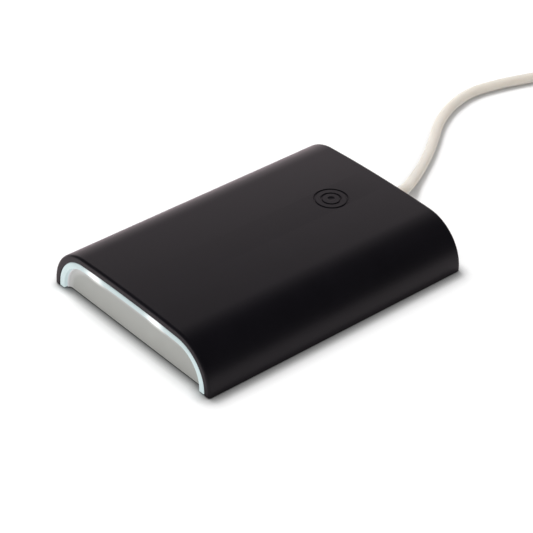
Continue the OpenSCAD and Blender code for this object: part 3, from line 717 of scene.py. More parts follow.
@dataclass(frozen=True)
class Finish:
    """The material of one kind of surface. Each kind paints its own."""

    name: str
    colour: Colour

    def paint(self, r: Recipe, where: Signal) -> None:
        """Dress the material's shader.

        Args:
            r: The material.
            where: The point on the object.
        """
        raise NotImplementedError(self.name)

    def build(self) -> bpy.types.Material:
        """Return the material."""
        r = Recipe(self.name)
        self.paint(r, r.place())
        return r.material


@dataclass(frozen=True)
class Moulded(Finish):
    """Moulded plastic or rubber with a fine eroded grain, faint flow tone and rubbed patches."""

    roughness: float = 0.45
    grain: float = 0.22
    grain_depth: float = 0.006
    tone: float = 0.06
    rub: float = 0.06
    level: float = 0.5
    soft: float = 0.0
    film: Colour = WHITE
    soft_scale: float = 1.6
    soft_radius: Colour = (1.0, 0.92, 0.82)
    flow_size: float = 14.0
    patch_size: float = 6.0

    def paint(self, r: Recipe, where: Signal) -> None:
        """Dress the shader, with light inside a soft plastic and a thin coat where the film has a colour."""
        grain = r.noise(where, self.grain, 3.0)
        pits = r.cells(where, self.grain * 1.7)
        flow = r.noise(where, self.flow_size, 2.0)
        rubbed = r.noise(where, self.patch_size, 4.0)
        patches = flow.rise(0.35, 0.65) * 0.6 + rubbed.rise(0.4, 0.7) * 0.4
        colour = r.blend(patches, shade(self.colour, 1 - self.tone), shade(self.colour, 1 + self.tone))
        speck = (grain - 0.5) * 0.05
        rough = (flow - 0.5) * self.rub + rubbed * self.rub * 0.5 + speck + (self.roughness - self.rub * 0.25)
        r.dress(Base_Color=colour, Roughness=rough, Normal=r.bump(grain * 0.7 + pits * 0.3, self.grain_depth),
                Specular_IOR_Level=self.level, Subsurface_Weight=self.soft,
                Subsurface_Scale=self.soft_scale * MM, Subsurface_Radius=self.soft_radius)
        if self.film != WHITE:
            r.dress(Coat_Weight=1.0, Coat_IOR=1.05, Coat_Roughness=self.roughness, Coat_Tint=self.film)


@dataclass(frozen=True)
class LampMarks:
    """Where the two lamps show through the lit end, as masks for the painted glow there."""

    apart: float = 14.4
    shift: float = -2.5
    wide: float = 4.3
    halo: float = 11.0

    def near(self, r: Recipe, where: Signal) -> tuple[Signal, Signal]:
        """Return how near a point is to a lamp, as a tight mask and as a wide one."""
        away = abs(abs(r.axis(where, "X") - self.shift) - self.apart)
        return 1.0 - away.rise(self.wide * 0.1, self.wide * 1.25), 1.0 - away.rise(self.wide * 0.5, self.halo)


@dataclass(frozen=True)
class LitTray(Moulded):
    """The tray's plastic, with a painted glow on its front border for the light that the guide spills on it.
    """

    painted_glow_tint: Colour = (0.93, 0.91, 1.0)
    marks: LampMarks = LampMarks(shift=-3.5)
    rim: Pair = LIT_RIM
    front_y: Pair = (-47.6, -47.2)
    top_x: Pair = (24.0, 30.0)
    painted_glow_under_lamps: Pair = (1.3, 3.2)
    painted_glow_beside_guide: Pair = (0.7, 2.6)
    painted_glow_at_edge: Pair = (0.1, 0.6)

    def paint(self, r: Recipe, where: Signal) -> None:
        """Dress the plastic, and paint a glow on the border, most beside the guide and where the lamps are.
        """
        super().paint(r, where)
        front = 1.0 - r.axis(where, "Y").rise(*self.front_y)
        depth = Arch().depth(r, where, self.rim)
        tight, _ = self.marks.near(r, where)
        top = 1.0 - abs(r.axis(where, "X")).rise(*self.top_x)
        spot = tight * top
        # Painted glow: emission on the border stands in for light from the guide and the lamps; under, beside
        # and level carry it.
        under = (1.0 - depth.rise(*self.painted_glow_under_lamps)) * (spot * 0.5 + 0.2)
        beside = (1.0 - depth.rise(*self.painted_glow_beside_guide)) * 0.11 + (1.0 - depth.rise(*self.painted_glow_at_edge)) * 0.25
        level = beside + (under - beside) * top
        tint = r.blend(spot, self.painted_glow_tint, WHITE)
        r.dress(Emission_Color=r.blend(level * front, BLACK, tint), Emission_Strength=1.0)


@dataclass(frozen=True)
class LitGuide(Finish):
    """Frosted clear plastic with a painted glow for the light of the two lamps behind it."""

    # glow and lamp are the painted glow's colours, away from the lamps and over them.
    glow: Colour
    lamp: Colour
    marks: LampMarks = LampMarks()
    top_z: float = 12.6
    fade: float = 2.5
    cloud_size: float = 2.2
    frost_size: float = 0.18

    def paint(self, r: Recipe, where: Signal) -> None:
        """Dress the shader, with a painted glow that is stronger below the top and brightest over the lamps.
        """
        tight, wide = self.marks.near(r, where)
        high = r.axis(where, "Z").rise(self.top_z - self.fade, self.top_z)
        cloud = r.noise(where, self.cloud_size, 3.0)
        lit = (tight * 0.9 + wide * 0.1) * high
        frost = r.noise(where, self.frost_size, 2.0)
        colour = r.blend(cloud, shade(self.colour, 0.96), shade(self.colour, 1.04))
        # Painted glow: emission stands in for the lamps' light in the guide; its extra strength below the top
        # also lightens the shaded legs.
        glow = r.blend(lit, r.blend(high, shade(self.glow, 1.3), self.glow), self.lamp)
        r.dress(Base_Color=colour, Roughness=frost * 0.12 + 0.24, Normal=r.bump(frost, 0.01),
                Emission_Color=glow, Emission_Strength=1.0, Coat_Weight=0.2, Coat_Roughness=0.15)


@dataclass(frozen=True)
class Plated(Finish):
    """Drawn or stamped metal with fine lines along one axis and a few dull spots."""

    roughness: float = 0.22
    drawn: Point = (1.0, 0.06, 1.0)
    line_size: float = 0.12
    spot_size: float = 2.5

    def paint(self, r: Recipe, where: Signal) -> None:
        """Dress the shader, with lines in its shine and its surface."""
        lines = r.noise(r.stretch(where, self.drawn), self.line_size, 3.0)
        dull = r.noise(where, self.spot_size, 4.0).rise(0.4, 0.85)
        colour = r.blend(dull, self.colour, shade(self.colour, 0.92))
        rough = lines * 0.12 + dull * 0.08 + (self.roughness - 0.06)
        r.dress(Base_Color=colour, Metallic=1.0, Roughness=rough, Normal=r.bump(lines, 0.003))


@dataclass(frozen=True)
class Laminate(Finish):
    """Printed circuit board: solder mask over glass cloth, with tracks under it."""

    track: Colour
    pitch: float = 1.1
    bend_size: float = 5.0
    bend: float = 3.0
    island_size: float = 7.0
    weave: float = 9.0

    def paint(self, r: Recipe, where: Signal) -> None:
        """Dress the shader, with tracks that leave islands free and the cloth's weave in the mask."""
        cloth = (r.axis(where, "X") * self.weave).sine() * (r.axis(where, "Y") * self.weave).sine()
        bend = r.noise(where, self.bend_size, 1.0) * self.bend
        tracks = ((r.axis(where, "X") + bend) * (2 * math.pi / self.pitch)).sine().rise(0.35, 0.6)
        islands = r.cells(where, self.island_size).rise(0.35, 0.4)
        lines = tracks * (1.0 - islands)
        r.dress(Base_Color=r.blend(lines, self.colour, self.track), Roughness=cloth * 0.03 + 0.24,
                Normal=r.bump(lines * 0.8 + cloth * 0.1, 0.03), Coat_Weight=0.5, Coat_Roughness=0.12)


@dataclass(frozen=True)
class Woven(Finish):
    """Hook and loop strap: a close pile of tiny loops in ribs."""

    rib: float = 8.0
    loop_size: float = 0.32
    fuzz_size: float = 0.15

    def paint(self, r: Recipe, where: Signal) -> None:
        """Dress the shader, with painted shade between the loops and painted light on them."""
        loops = r.cells(where, self.loop_size)
        fuzz = r.noise(where, self.fuzz_size, 4.0)
        ribs = (r.axis(where, "X") * self.rib).sine() * 0.5 + 0.5
        height = loops * 0.5 + fuzz * 0.3 + ribs * 0.2
        # Painted shade and light: the colour is darkest where the pile is low and lightest on the loop tops.
        colour = r.blend(height, shade(self.colour, 0.45), shade(self.colour, 1.9))
        r.dress(Base_Color=colour, Roughness=0.92, Normal=r.bump(height, 0.12), Sheen_Weight=0.4)


@dataclass(frozen=True)
class LampCase(Finish):
    """A lamp's white case with a glowing lens."""

    light: Colour
    lens: Pair = LAMPS
    lens_r: float = 1.2

    def paint(self, r: Recipe, where: Signal) -> None:
        """Dress the shader, with a round lens on each lamp."""
        dx = abs(r.axis(where, "X")) - self.lens[0]
        dy = r.axis(where, "Y") - self.lens[1]
        lens = 1.0 - ((dx * dx + dy * dy) ** 0.5).rise(self.lens_r * 0.8, self.lens_r)
        grain = r.noise(where, 0.2, 2.0)
        r.dress(Base_Color=r.blend(lens, self.colour, self.light), Roughness=grain * 0.1 + 0.25,
                Normal=r.bump(grain, 0.004), Emission_Color=r.blend(lens, BLACK, self.light),
                Emission_Strength=4.0)


class Finishes:
    """The materials, each built once when it is first asked for."""

    RECIPES = {finish.name: finish for finish in (
        Moulded("cover_black", (0.0042, 0.0041, 0.0060), 0.36, 0.16, 0.005, 0.10, 0.05, 0.175,
                film=(1.0, 0.93, 0.95)),
        # The tray's plastic carries a painted glow on its front border.
        LitTray("tray_grey", (0.366, 0.366, 0.346), 0.46, 0.20, 0.004, 0.03, 0.05),
        # The guide's last two colours are its painted glow and its painted glow over the lamps.
        LitGuide("guide_clear", (0.27, 0.325, 0.33), (0.245, 0.295, 0.30), (0.8, 0.8, 0.8)),
        Moulded("cable_beige", (0.68, 0.635, 0.58), 0.5, 0.35, 0.006, 0.03, 0.08, 0.1,
                soft=1.0, soft_scale=5.0),
        Moulded("plug_beige", (0.67, 0.62, 0.56), 0.5, 0.25, 0.008, 0.03, 0.06, soft=0.5),
        Laminate("board_green", (0.012, 0.105, 0.045), (0.035, 0.20, 0.07)),
        Plated("copper", (0.86, 0.43, 0.22), 0.3, (1.0, 1.0, 1.0)),
        Moulded("chip_black", (0.02, 0.02, 0.021), 0.55, 0.15, 0.01, 0.1, 0.08),
        Plated("can_metal", (0.72, 0.71, 0.69), 0.3),
        LampCase("lamp_white", (0.86, 0.86, 0.82), (0.82, 1.0, 0.98)),
        Moulded("ceramic_tan", (0.46, 0.33, 0.19), 0.5, 0.12, 0.008, 0.12, 0.08),
        Moulded("socket_cream", (0.80, 0.76, 0.66), 0.4, 0.2, 0.005, 0.04, 0.06),
        Moulded("wire_red", (0.50, 0.02, 0.02), 0.3, 0.3, 0.003, 0.05, 0.05),
        Moulded("wire_white", (0.80, 0.80, 0.78), 0.3, 0.3, 0.003, 0.03, 0.05),
        Moulded("wire_green", (0.02, 0.22, 0.05), 0.3, 0.3, 0.003, 0.05, 0.05),
        Moulded("wire_black", (0.015, 0.015, 0.015), 0.3, 0.3, 0.003, 0.05, 0.05),
        Plated("screw_steel", (0.62, 0.62, 0.64), 0.3, (1.0, 1.0, 1.0)),
        Moulded("foot_rubber", (0.022, 0.022, 0.023), 0.78, 0.18, 0.02, 0.15, 0.06, 0.35),
        # The strap's colour gets painted shade between its loops and painted light on them.
        Woven("strap_black", (0.03, 0.03, 0.034)),
        Plated("plug_metal", (0.74, 0.74, 0.75), 0.2),
        Moulded("tongue_white", (0.84, 0.84, 0.82), 0.4, 0.2, 0.004, 0.03, 0.05),
        Plated("contact_gold", (0.90, 0.66, 0.27), 0.2),
    )}

    def __init__(self) -> None:
        """Start with none built."""
        self.built: dict[str, bpy.types.Material] = {}

    def get(self, name: str) -> bpy.types.Material:
        """Return the material of a name."""
        if name not in self.built:
            self.built[name] = self.RECIPES[name].build()
        return self.built[name]

    def put(self, piece: Piece, name: str, slot: str = "") -> None:
        """Give a new piece its only material and its place on the body.

        Args:
            piece: The finished piece.
            name: The material's name.
            slot: Not used.
        """
        piece.data.materials.clear()
        piece.data.materials.append(self.get(name))
        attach(piece, "root")


@dataclass
class CoverShell:
    """The arched black cover with its ribs, screw bosses and engraved mark."""

    arch: Arch
    finishes: Finishes
    half_length: float = 50.0
    base: float = 0.4
    wall: float = 2.0
    edge: float = 0.9
    chamfer: float = 0.12
    lip: float = 0.35
    lip_deep: float = 1.0
    lip_slope: float = 0.2
    ring_radii: Pair = (5.25, 3.05)
    line: float = 0.35
    dot: float = 1.2
    dot_flat: float = 0.3
    mark_y: float = 29.0
    rib_rows: tuple[float, ...] = (-24.0, 0.0, 24.0)
    rib_half: Pair = (22.0, 0.6)
    rib_z: Pair = (13.4, 14.9)
    boss_foot: float = 5.5
    boss: Pair = (3.0, 9.2)
    pilot: Pair = (1.25, 7.7)

    def shell(self) -> Piece:
        """Return the hollow arch with rounded end edges."""
        outer = [(i, i, self.half_length - back) for i, back in quarter(self.edge, self.edge, 8)]
        inner = [(self.wall, self.wall, self.half_length - self.chamfer),
                 (self.wall - self.chamfer, self.wall - self.chamfer, self.half_length)]
        front = [(a, b, -y) for a, b, y in outer]
        tight, throat = self.wall + self.lip, self.lip_deep - self.half_length
        inside_front = [(self.wall, self.wall, throat + self.lip_slope), (tight, tight, throat)]
        inside_front += [(a + self.lip, b + self.lip, -y) for a, b, y in inner]
        stations = front + outer[::-1] + inner[::-1] + inside_front
        return self.arch.loft("cover_shell", stations, self.base, True)

    def stiffeners(self) -> list[Piece]:
        """Return the ribs under the top and the four hollow screw bosses."""
        across, along = self.rib_half
        made = [Bench.beam("rib", across, (y - along, y + along), self.rib_z) for y in self.rib_rows]
        for x, y in corners(SCREWS):
            boss = Bench.rod("boss", (x, y, self.boss_foot), self.boss, 48)
            Bench.work(boss, Fit.CUT, [Bench.rod("pilot", (x, y, self.boss_foot - OVER), self.pilot, 32)])
            made.append(boss)
        return made

    def engrave(self, shell: Piece) -> None:
        """Cut two round-bottomed rings and a shallow dish into the top near the cable end."""
        middle = Vector((0, self.mark_y, self.arch.top)) * MM
        for radius in self.ring_radii:
            Bench.clear()
            bpy.ops.mesh.primitive_torus_add(
                location=middle, major_radius=radius * MM, minor_radius=self.line * MM,
                major_segments=96, minor_segments=16)
            Bench.work(shell, Fit.CUT, [Bench.settle("groove")])
        Bench.clear()
        bpy.ops.mesh.primitive_uv_sphere_add(
            location=middle, radius=self.dot * MM, segments=48, ring_count=24)
        bpy.context.view_layer.objects.active.scale = (1, 1, self.dot_flat)
        Bench.work(shell, Fit.CUT, [Bench.settle("dish")])

    def build(self) -> Piece:
        """Return the finished cover."""
        shell = self.shell()
        self.engrave(shell)
        Bench.work(shell, Fit.WELD, self.stiffeners())
        Bench.close(shell)
        self.finishes.put(shell, "cover_black")
        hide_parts("top_cover")
        return shell


@dataclass
class GuideRing:
    """The clear arch in the lit end, with an arm that reaches back over each lamp."""

    arch: Arch
    finishes: Finishes
    front: float = -50.0
    back: float = -46.5
    base: float = 0.6
    inset: float = 2.45
    top: float = 1.95
    leg: float = 2.2
    edge: float = 0.3
    lamp_x: float = LAMPS[0]
    arm_half: float = 2.5
    arm_end: float = -41.3
    arm_z: Pair = (12.4, 13.8)
    arm_root: float = 0.4
    foot_front: float = -43.9
    foot_z: Pair = (10.3, 13.6)

    def arms(self) -> list[Piece]:
        """Return the two arms that reach back to the lamps, each with its foot."""
        made = []
        for side in SIDES:
            left, right = side * self.lamp_x - self.arm_half, side * self.lamp_x + self.arm_half
            (low, high), (foot_low, foot_high) = self.arm_z, self.foot_z
            arm = Bench.block("arm", (left, self.back - self.arm_root, low), (right, self.arm_end, high))
            foot = Bench.block("foot", (left, self.foot_front, foot_low), (right, self.arm_end, foot_high))
            Bench.work(arm, Fit.WELD, [foot])
            made.append(arm)
        return made

    def build(self) -> Piece:
        """Return the finished guide."""
        out, top_in, leg_in = self.inset, self.inset + self.top, self.inset + self.leg
        edge = quarter(self.edge, self.edge, 3)
        stations = [(out + i, out + i, self.front + b) for i, b in edge]
        stations += [(out, out, self.back), (top_in, leg_in, self.back)]
        stations += [(top_in - i, leg_in - i, self.front + b) for i, b in edge[::-1]]
        ring = self.arch.loft("light_ring", stations, self.base, True)
        Bench.work(ring, Fit.WELD, self.arms())
        Bench.close(ring)
        self.finishes.put(ring, "guide_clear")
        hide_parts("light_guide")
        return ring


@dataclass
class TrayPan:
    """The grey tray with its two framed end panels, walls, posts and the cable's seat."""

    arch: Arch
    finishes: Finishes
    face: float = 48.1
    thick: float = 1.8
    base: float = 0.6
    floor: float = 2.4
    proud: float = 0.85
    border: float = 1.5
    lip: float = 0.25
    chamfer: float = 0.12
    lamp_end: Pair = LIT_RIM
    cable_end: Pair = (2.3, 2.3)
    plate_x: float = 34.7
    plate_y: Pair = (-46.2, 46.8)
    plate_edge: float = 0.3
    tongue_x: float = 31.0
    tongue_y: Pair = (-47.0, -45.0)
    tongue_up: float = 0.3
    wall_x: float = 33.04
    wall_half: float = 0.7
    wall_top: float = 6.0
    root: float = 0.5
    foot_seat: Pair = (4.7, 2.4)
    screw_head: Pair = (2.5, 3.2)
    screw_way: Pair = (1.4, 7.0)
    post: Pair = (3.8, 3.9)
    post_foot: float = 1.5
    stand_places: tuple[Pair, ...] = ((26.3, -19.82), (26.3, 23.86))
    stand: Pair = (2.5, 4.9)
    stand_hole: Pair = (0.95, 6.0)
    seat_x: float = 5.0
    seat_y: Pair = (42.7, 43.9)
    slot_y: float = 42.0
    slot: Pair = (1.95, 3.0)
    outlet_y: float = 44.0
    outlet: Pair = (3.15, 8.0)

    def panel(self, name: str, insets: Pair, side: int) -> Piece:
        """Make an end panel with its hollow border.

        Args:
            name: The piece's name.
            insets: How far its outline lies inside the cover's outside, at the top and at the legs.
            side: -1 for the lit end, 1 for the cable end.

        Returns:
            The new object.
        """
        top_in, leg_in = insets
        lip = self.face + self.proud
        slab = [(0.0, self.face - self.thick), (0.0, lip - self.chamfer), (self.chamfer, lip)]
        panel = self.arch.loft(name, [(top_in + i, leg_in + i, side * y) for i, y in slab], self.base, False)
        hollow = [(self.lip + i, self.face + b) for i, b in quarter(self.border, self.proud, 10)]
        hollow.append((self.lip, lip + OVER))
        stations = [(top_in + i, leg_in + i, side * y) for i, y in hollow]
        Bench.work(panel, Fit.CUT, [self.arch.loft("hollow", stations, self.base - OVER, False)])
        return panel

    def furniture(self) -> list[Piece]:
        """Return the tray's front tongue, side walls, screw posts, standoffs and cable seat."""
        made = [Bench.beam("tongue", self.tongue_x, self.tongue_y, (self.base + self.tongue_up, self.floor))]
        (fx, fy), half, low = SCREWS, self.wall_half, self.floor - self.root
        for side in SIDES:
            x = side * self.wall_x
            made.append(Bench.block("side_wall", (x - half, -fy, low), (x + half, fy, self.wall_top)))
            made += [Bench.rod("post", (side * fx, end * fy, self.post_foot), self.post, 48) for end in SIDES]
            for x, y in self.stand_places:
                stand = Bench.rod("standoff", (side * x, y, low), self.stand, 40)
                hole = Bench.rod("hole", (side * x, y, self.floor), self.stand_hole, 24)
                Bench.work(stand, Fit.CUT, [hole])
                made.append(stand)
        seat = Bench.beam("cable_seat", self.seat_x, self.seat_y, (low, CABLE_Z))
        Bench.work(seat, Fit.CUT, [Bench.rod("slot", (0, self.slot_y, CABLE_Z), self.slot, 40, True)])
        return made + [seat]

    def screw_ways(self) -> list[Piece]:
        """Return what is cut out for the feet and the screws over them."""
        holes = (("seat", -OVER, self.foot_seat, 64), ("sink", 0.0, self.screw_head, 64),
                 ("way", 0.0, self.screw_way, 32))
        return [Bench.rod(name, (x, y, low), size, sides)
                for x, y in corners(SCREWS) for name, low, size, sides in holes]

    def build(self) -> Piece:
        """Return the finished tray."""
        pan = Bench.beam("tray_pan", self.plate_x, self.plate_y, (self.base, self.floor))
        Bench.round_edges(pan, self.plate_edge, 3,
                          lambda a, b: max(a.z, b.z) < self.base + NEAR and abs(a.x - b.x) < NEAR)
        front = self.panel("front_panel", self.lamp_end, -1)
        rear = self.panel("rear_panel", self.cable_end, 1)
        hole = Bench.rod("outlet", (0, self.outlet_y, CABLE_Z), self.outlet, lengthwise=True)
        Bench.work(rear, Fit.CUT, [hole])
        Bench.work(pan, Fit.WELD, [front, rear] + self.furniture())
        Bench.work(pan, Fit.CUT, self.screw_ways())
        Bench.close(pan)
        self.finishes.put(pan, "tray_grey")
        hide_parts("base_tray")
        return pan


@dataclass
class RubberFeet:
    """Four round rubber feet with a soft lower edge and a moulded ring."""

    finishes: Finishes
    radius: float = 4.5
    height: float = 1.4
    dish: float = 0.12

    def foot(self, name: str, x: float, y: float) -> Piece:
        """Turn one foot.

        Args:
            name: The piece's name.
            x: Its place across.
            y: Its place along.

        Returns:
            The new object.
        """
        pencil = Pencil(name)
        r, h = self.radius, self.height
        profile = [(0, self.dish), (r - 1.9, self.dish), (r - 1.75, 0), (r - 0.3, 0), (r - 0.09, 0.09),
                   (r, 0.3), (r, h), (0, h)]
        pencil.trace([(x + out, y, z) for out, z in profile])
        foot = pencil.lathe((x, y, 0), (0, 0, 1), 56)
        Bench.close(foot, 50)
        return foot

    def build(self) -> list[Piece]:
        """Return the four feet."""
        made = []
        x, y = SCREWS
        for row, end in zip(("front", "rear"), SIDES):
            for side, hand in zip(("left", "right"), SIDES):
                foot = self.foot(f"rubber_{row}_{side}", hand * x, end * y)
                self.finishes.put(foot, "foot_rubber")
                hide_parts(f"foot_{row}_{side}")
                made.append(foot)
        return made


@dataclass
class ReliefSleeve:
    """The grooved sleeve that holds the cable in the rear panel."""

    finishes: Finishes
    profile: tuple[Pair, ...] = (
        (44.0, 1.95), (44.0, 3.6), (44.2, 3.8), (46.0, 3.8), (46.2, 3.6), (46.2, 3.0), (48.2, 3.0),
        (48.2, 3.5), (48.35, 3.65), (49.2, 3.65), (49.4, 3.45), (49.45, 2.98), (49.9, 2.93), (50.0, 2.4),
        (50.6, 2.38), (50.7, 2.84), (51.1, 2.8), (51.2, 2.36), (51.8, 2.35), (51.9, 2.7), (52.3, 2.66),
        (52.4, 2.35), (53.0, 2.34), (53.1, 2.58), (53.7, 2.52), (53.9, 2.34), (53.9, 1.95))

    def build(self) -> Piece:
        """Return the finished sleeve."""
        pencil = Pencil("relief_sleeve")
        pencil.trace([(r, y, CABLE_Z) for y, r in self.profile + self.profile[:1]])
        sleeve = pencil.lathe((0, 0, CABLE_Z), (0, 1, 0), 56)
        Bench.close(sleeve, 28)
        self.finishes.put(sleeve, "plug_beige", "cable_beige")
        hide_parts("cable_strain_relief")
        return sleeve


@dataclass
class CableRun:
    """The whole cable on one line: from the housing, through the photo's bends and the coil, to the plug."""

    finishes: Finishes
    diameter: float = 3.6
    free: tuple[Point, ...] = (
        (0, 41, 6.4), (0, 47, 6.4), (0, 54, 6.4), (-1, 60, 5.6), (-3.6, 66, 3.8), (-7, 72, 2.4),
        (-10.5, 78.5, 1.8), (-15.5, 87, 1.8), (-21, 95, 1.8), (-26.5, 102.5, 1.8), (-31, 110.5, 1.8),
        (-34, 119, 1.8), (-35.2, 128, 1.8), (-33.6, 137.5, 1.8), (-30.7, 147, 1.8), (-27.5, 156, 1.8),
        (-24.7, 165, 2), (-23.4, 173, 2.6), (-23.3, 180.4, 2.8))
    tail: tuple[Point, ...] = (
        (27.3, 180.4, 14.95), (27.3, 176.8, 14.95), (28.6, 171.5, 13.8), (32.4, 166.5, 10.6),
        (37.2, 161.5, 7), (41, 157, 4.6), (42, 153.6, 4), (42, 150, 4))
    coil_centre: Point = (2.0, 184.0, 2.8)
    inner: float = 14.7
    pitch: float = 4.05
    layer_turns: float = 2.625
    layers: int = 4
    turn_points: int = 24
    climb: float = 0.5

    def coil_point(self, turns: float) -> Point:
        """Return the coil's centreline after a number of turns.

        Args:
            turns: Turns since the cable came into the coil.

        Returns:
            The point.
        """
        layer = math.floor(turns / self.layer_turns + 1e-9)
        along = turns - layer * self.layer_turns
        inward = self.layer_turns - along if layer % 2 == 0 else along
        near = round(turns / self.layer_turns)
        shift = min(1.0, max(0.0, (turns - near * self.layer_turns) / self.climb + 0.5))
        if near < 1:
            level = 0.0
        elif near >= self.layers:
            level = self.layers - 1.0
        else:
            level = near - 1 + shift
        r = self.inner + inward * self.pitch
        a = math.radians(180 - 360 * turns)
        x, y, z = self.coil_centre
        return (x + r * math.cos(a), y + r * math.sin(a), z + level * self.pitch)

    def points(self) -> list[Point]:
        """Return the cable's points from the housing to the plug."""
        total = int(self.layers * self.layer_turns * self.turn_points)
        coil = [self.coil_point(i / self.turn_points) for i in range(total + 1)]
        return [*self.free, *coil, *self.tail]

    def length(self, points: Sequence[Point]) -> float:
        """Return the length of a line of points, in metres."""
        return sum((Vector(b) - Vector(a)).length for a, b in zip(points, points[1:])) * MM

    def build(self) -> Piece:
        """Return the finished cable."""
        points = self.points()
        line = bpy.data.curves.new("usb_lead", "CURVE")
        line.dimensions = "3D"
        line.bevel_depth = self.diameter / 2 * MM
        line.bevel_resolution = 5
        line.resolution_u = 4
        line.use_fill_caps = True
        spline = line.splines.new("BEZIER")
        spline.bezier_points.add(len(points) - 1)
        for knot, point in zip(spline.bezier_points, points):
            knot.co = Vector(point) * MM
            knot.handle_left_type = knot.handle_right_type = "AUTO"
        cable = link("usb_lead", line)
        self.finishes.put(cable, "cable_beige")
        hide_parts("usb_cable", "usb_cable_coil", "usb_cable_tail")
        return cable

    def declare(self) -> None:
        """Log the cable's length.
        """
        length = self.length(self.points())
        self.diameter * MM
        LOG.info("cable of %.3f m", length)


@dataclass
class CoilStrap:
    """The hook and loop strap round the coil, with its end laid over itself."""

    finishes: Finishes
    middle: Point = (2.0, 164.26, 8.875)
    inner: Pair = (15.38, 16.35)
    thick: float = 0.7
    width: float = 8.0
    corner: float = 1.8
    edge: float = 0.18
    flap_in: float = 0.3
    flap_y: Pair = (-4.0, 5.0)
    flap_z: Pair = (-0.05, 0.5)
    flap_edge: float = 0.24

    def build(self) -> Piece:
        """Return the finished strap."""
        x, y, z = self.middle
        w, h, half = self.inner[0] / 2, self.inner[1] / 2, self.width / 2
        strap = Bench.block("coil_strap", (x - half, y - w, z - h), (x + half, y + w, z + h))
        Bench.round_edges(strap, self.corner, 6, runs(X))
        Bench.drop_faces(strap, looks(X))
        Bench.modify(strap, "SOLIDIFY", thickness=self.thick * MM, offset=1.0, use_even_offset=True)
        Bench.round_edges(strap, self.edge, 2,
                          lambda a, b: abs(abs(a.x - x) - half) < NEAR and abs(a.x - b.x) < NEAR)
        half, top = half - self.flap_in, z + h + self.thick
        (start, end), (sunk, proud) = self.flap_y, self.flap_z
        flap = Bench.block("flap", (x - half, y + start, top + sunk), (x + half, y + end, top + proud))
        Bench.round_edges(flap, self.flap_edge, 3, lambda a, b: min(a.z, b.z) > top + proud - NEAR)
        Bench.gather(strap, [flap])
        Bench.close(strap, 40)
        self.finishes.put(strap, "strap_black")
        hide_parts("coil_tie")
        return strap


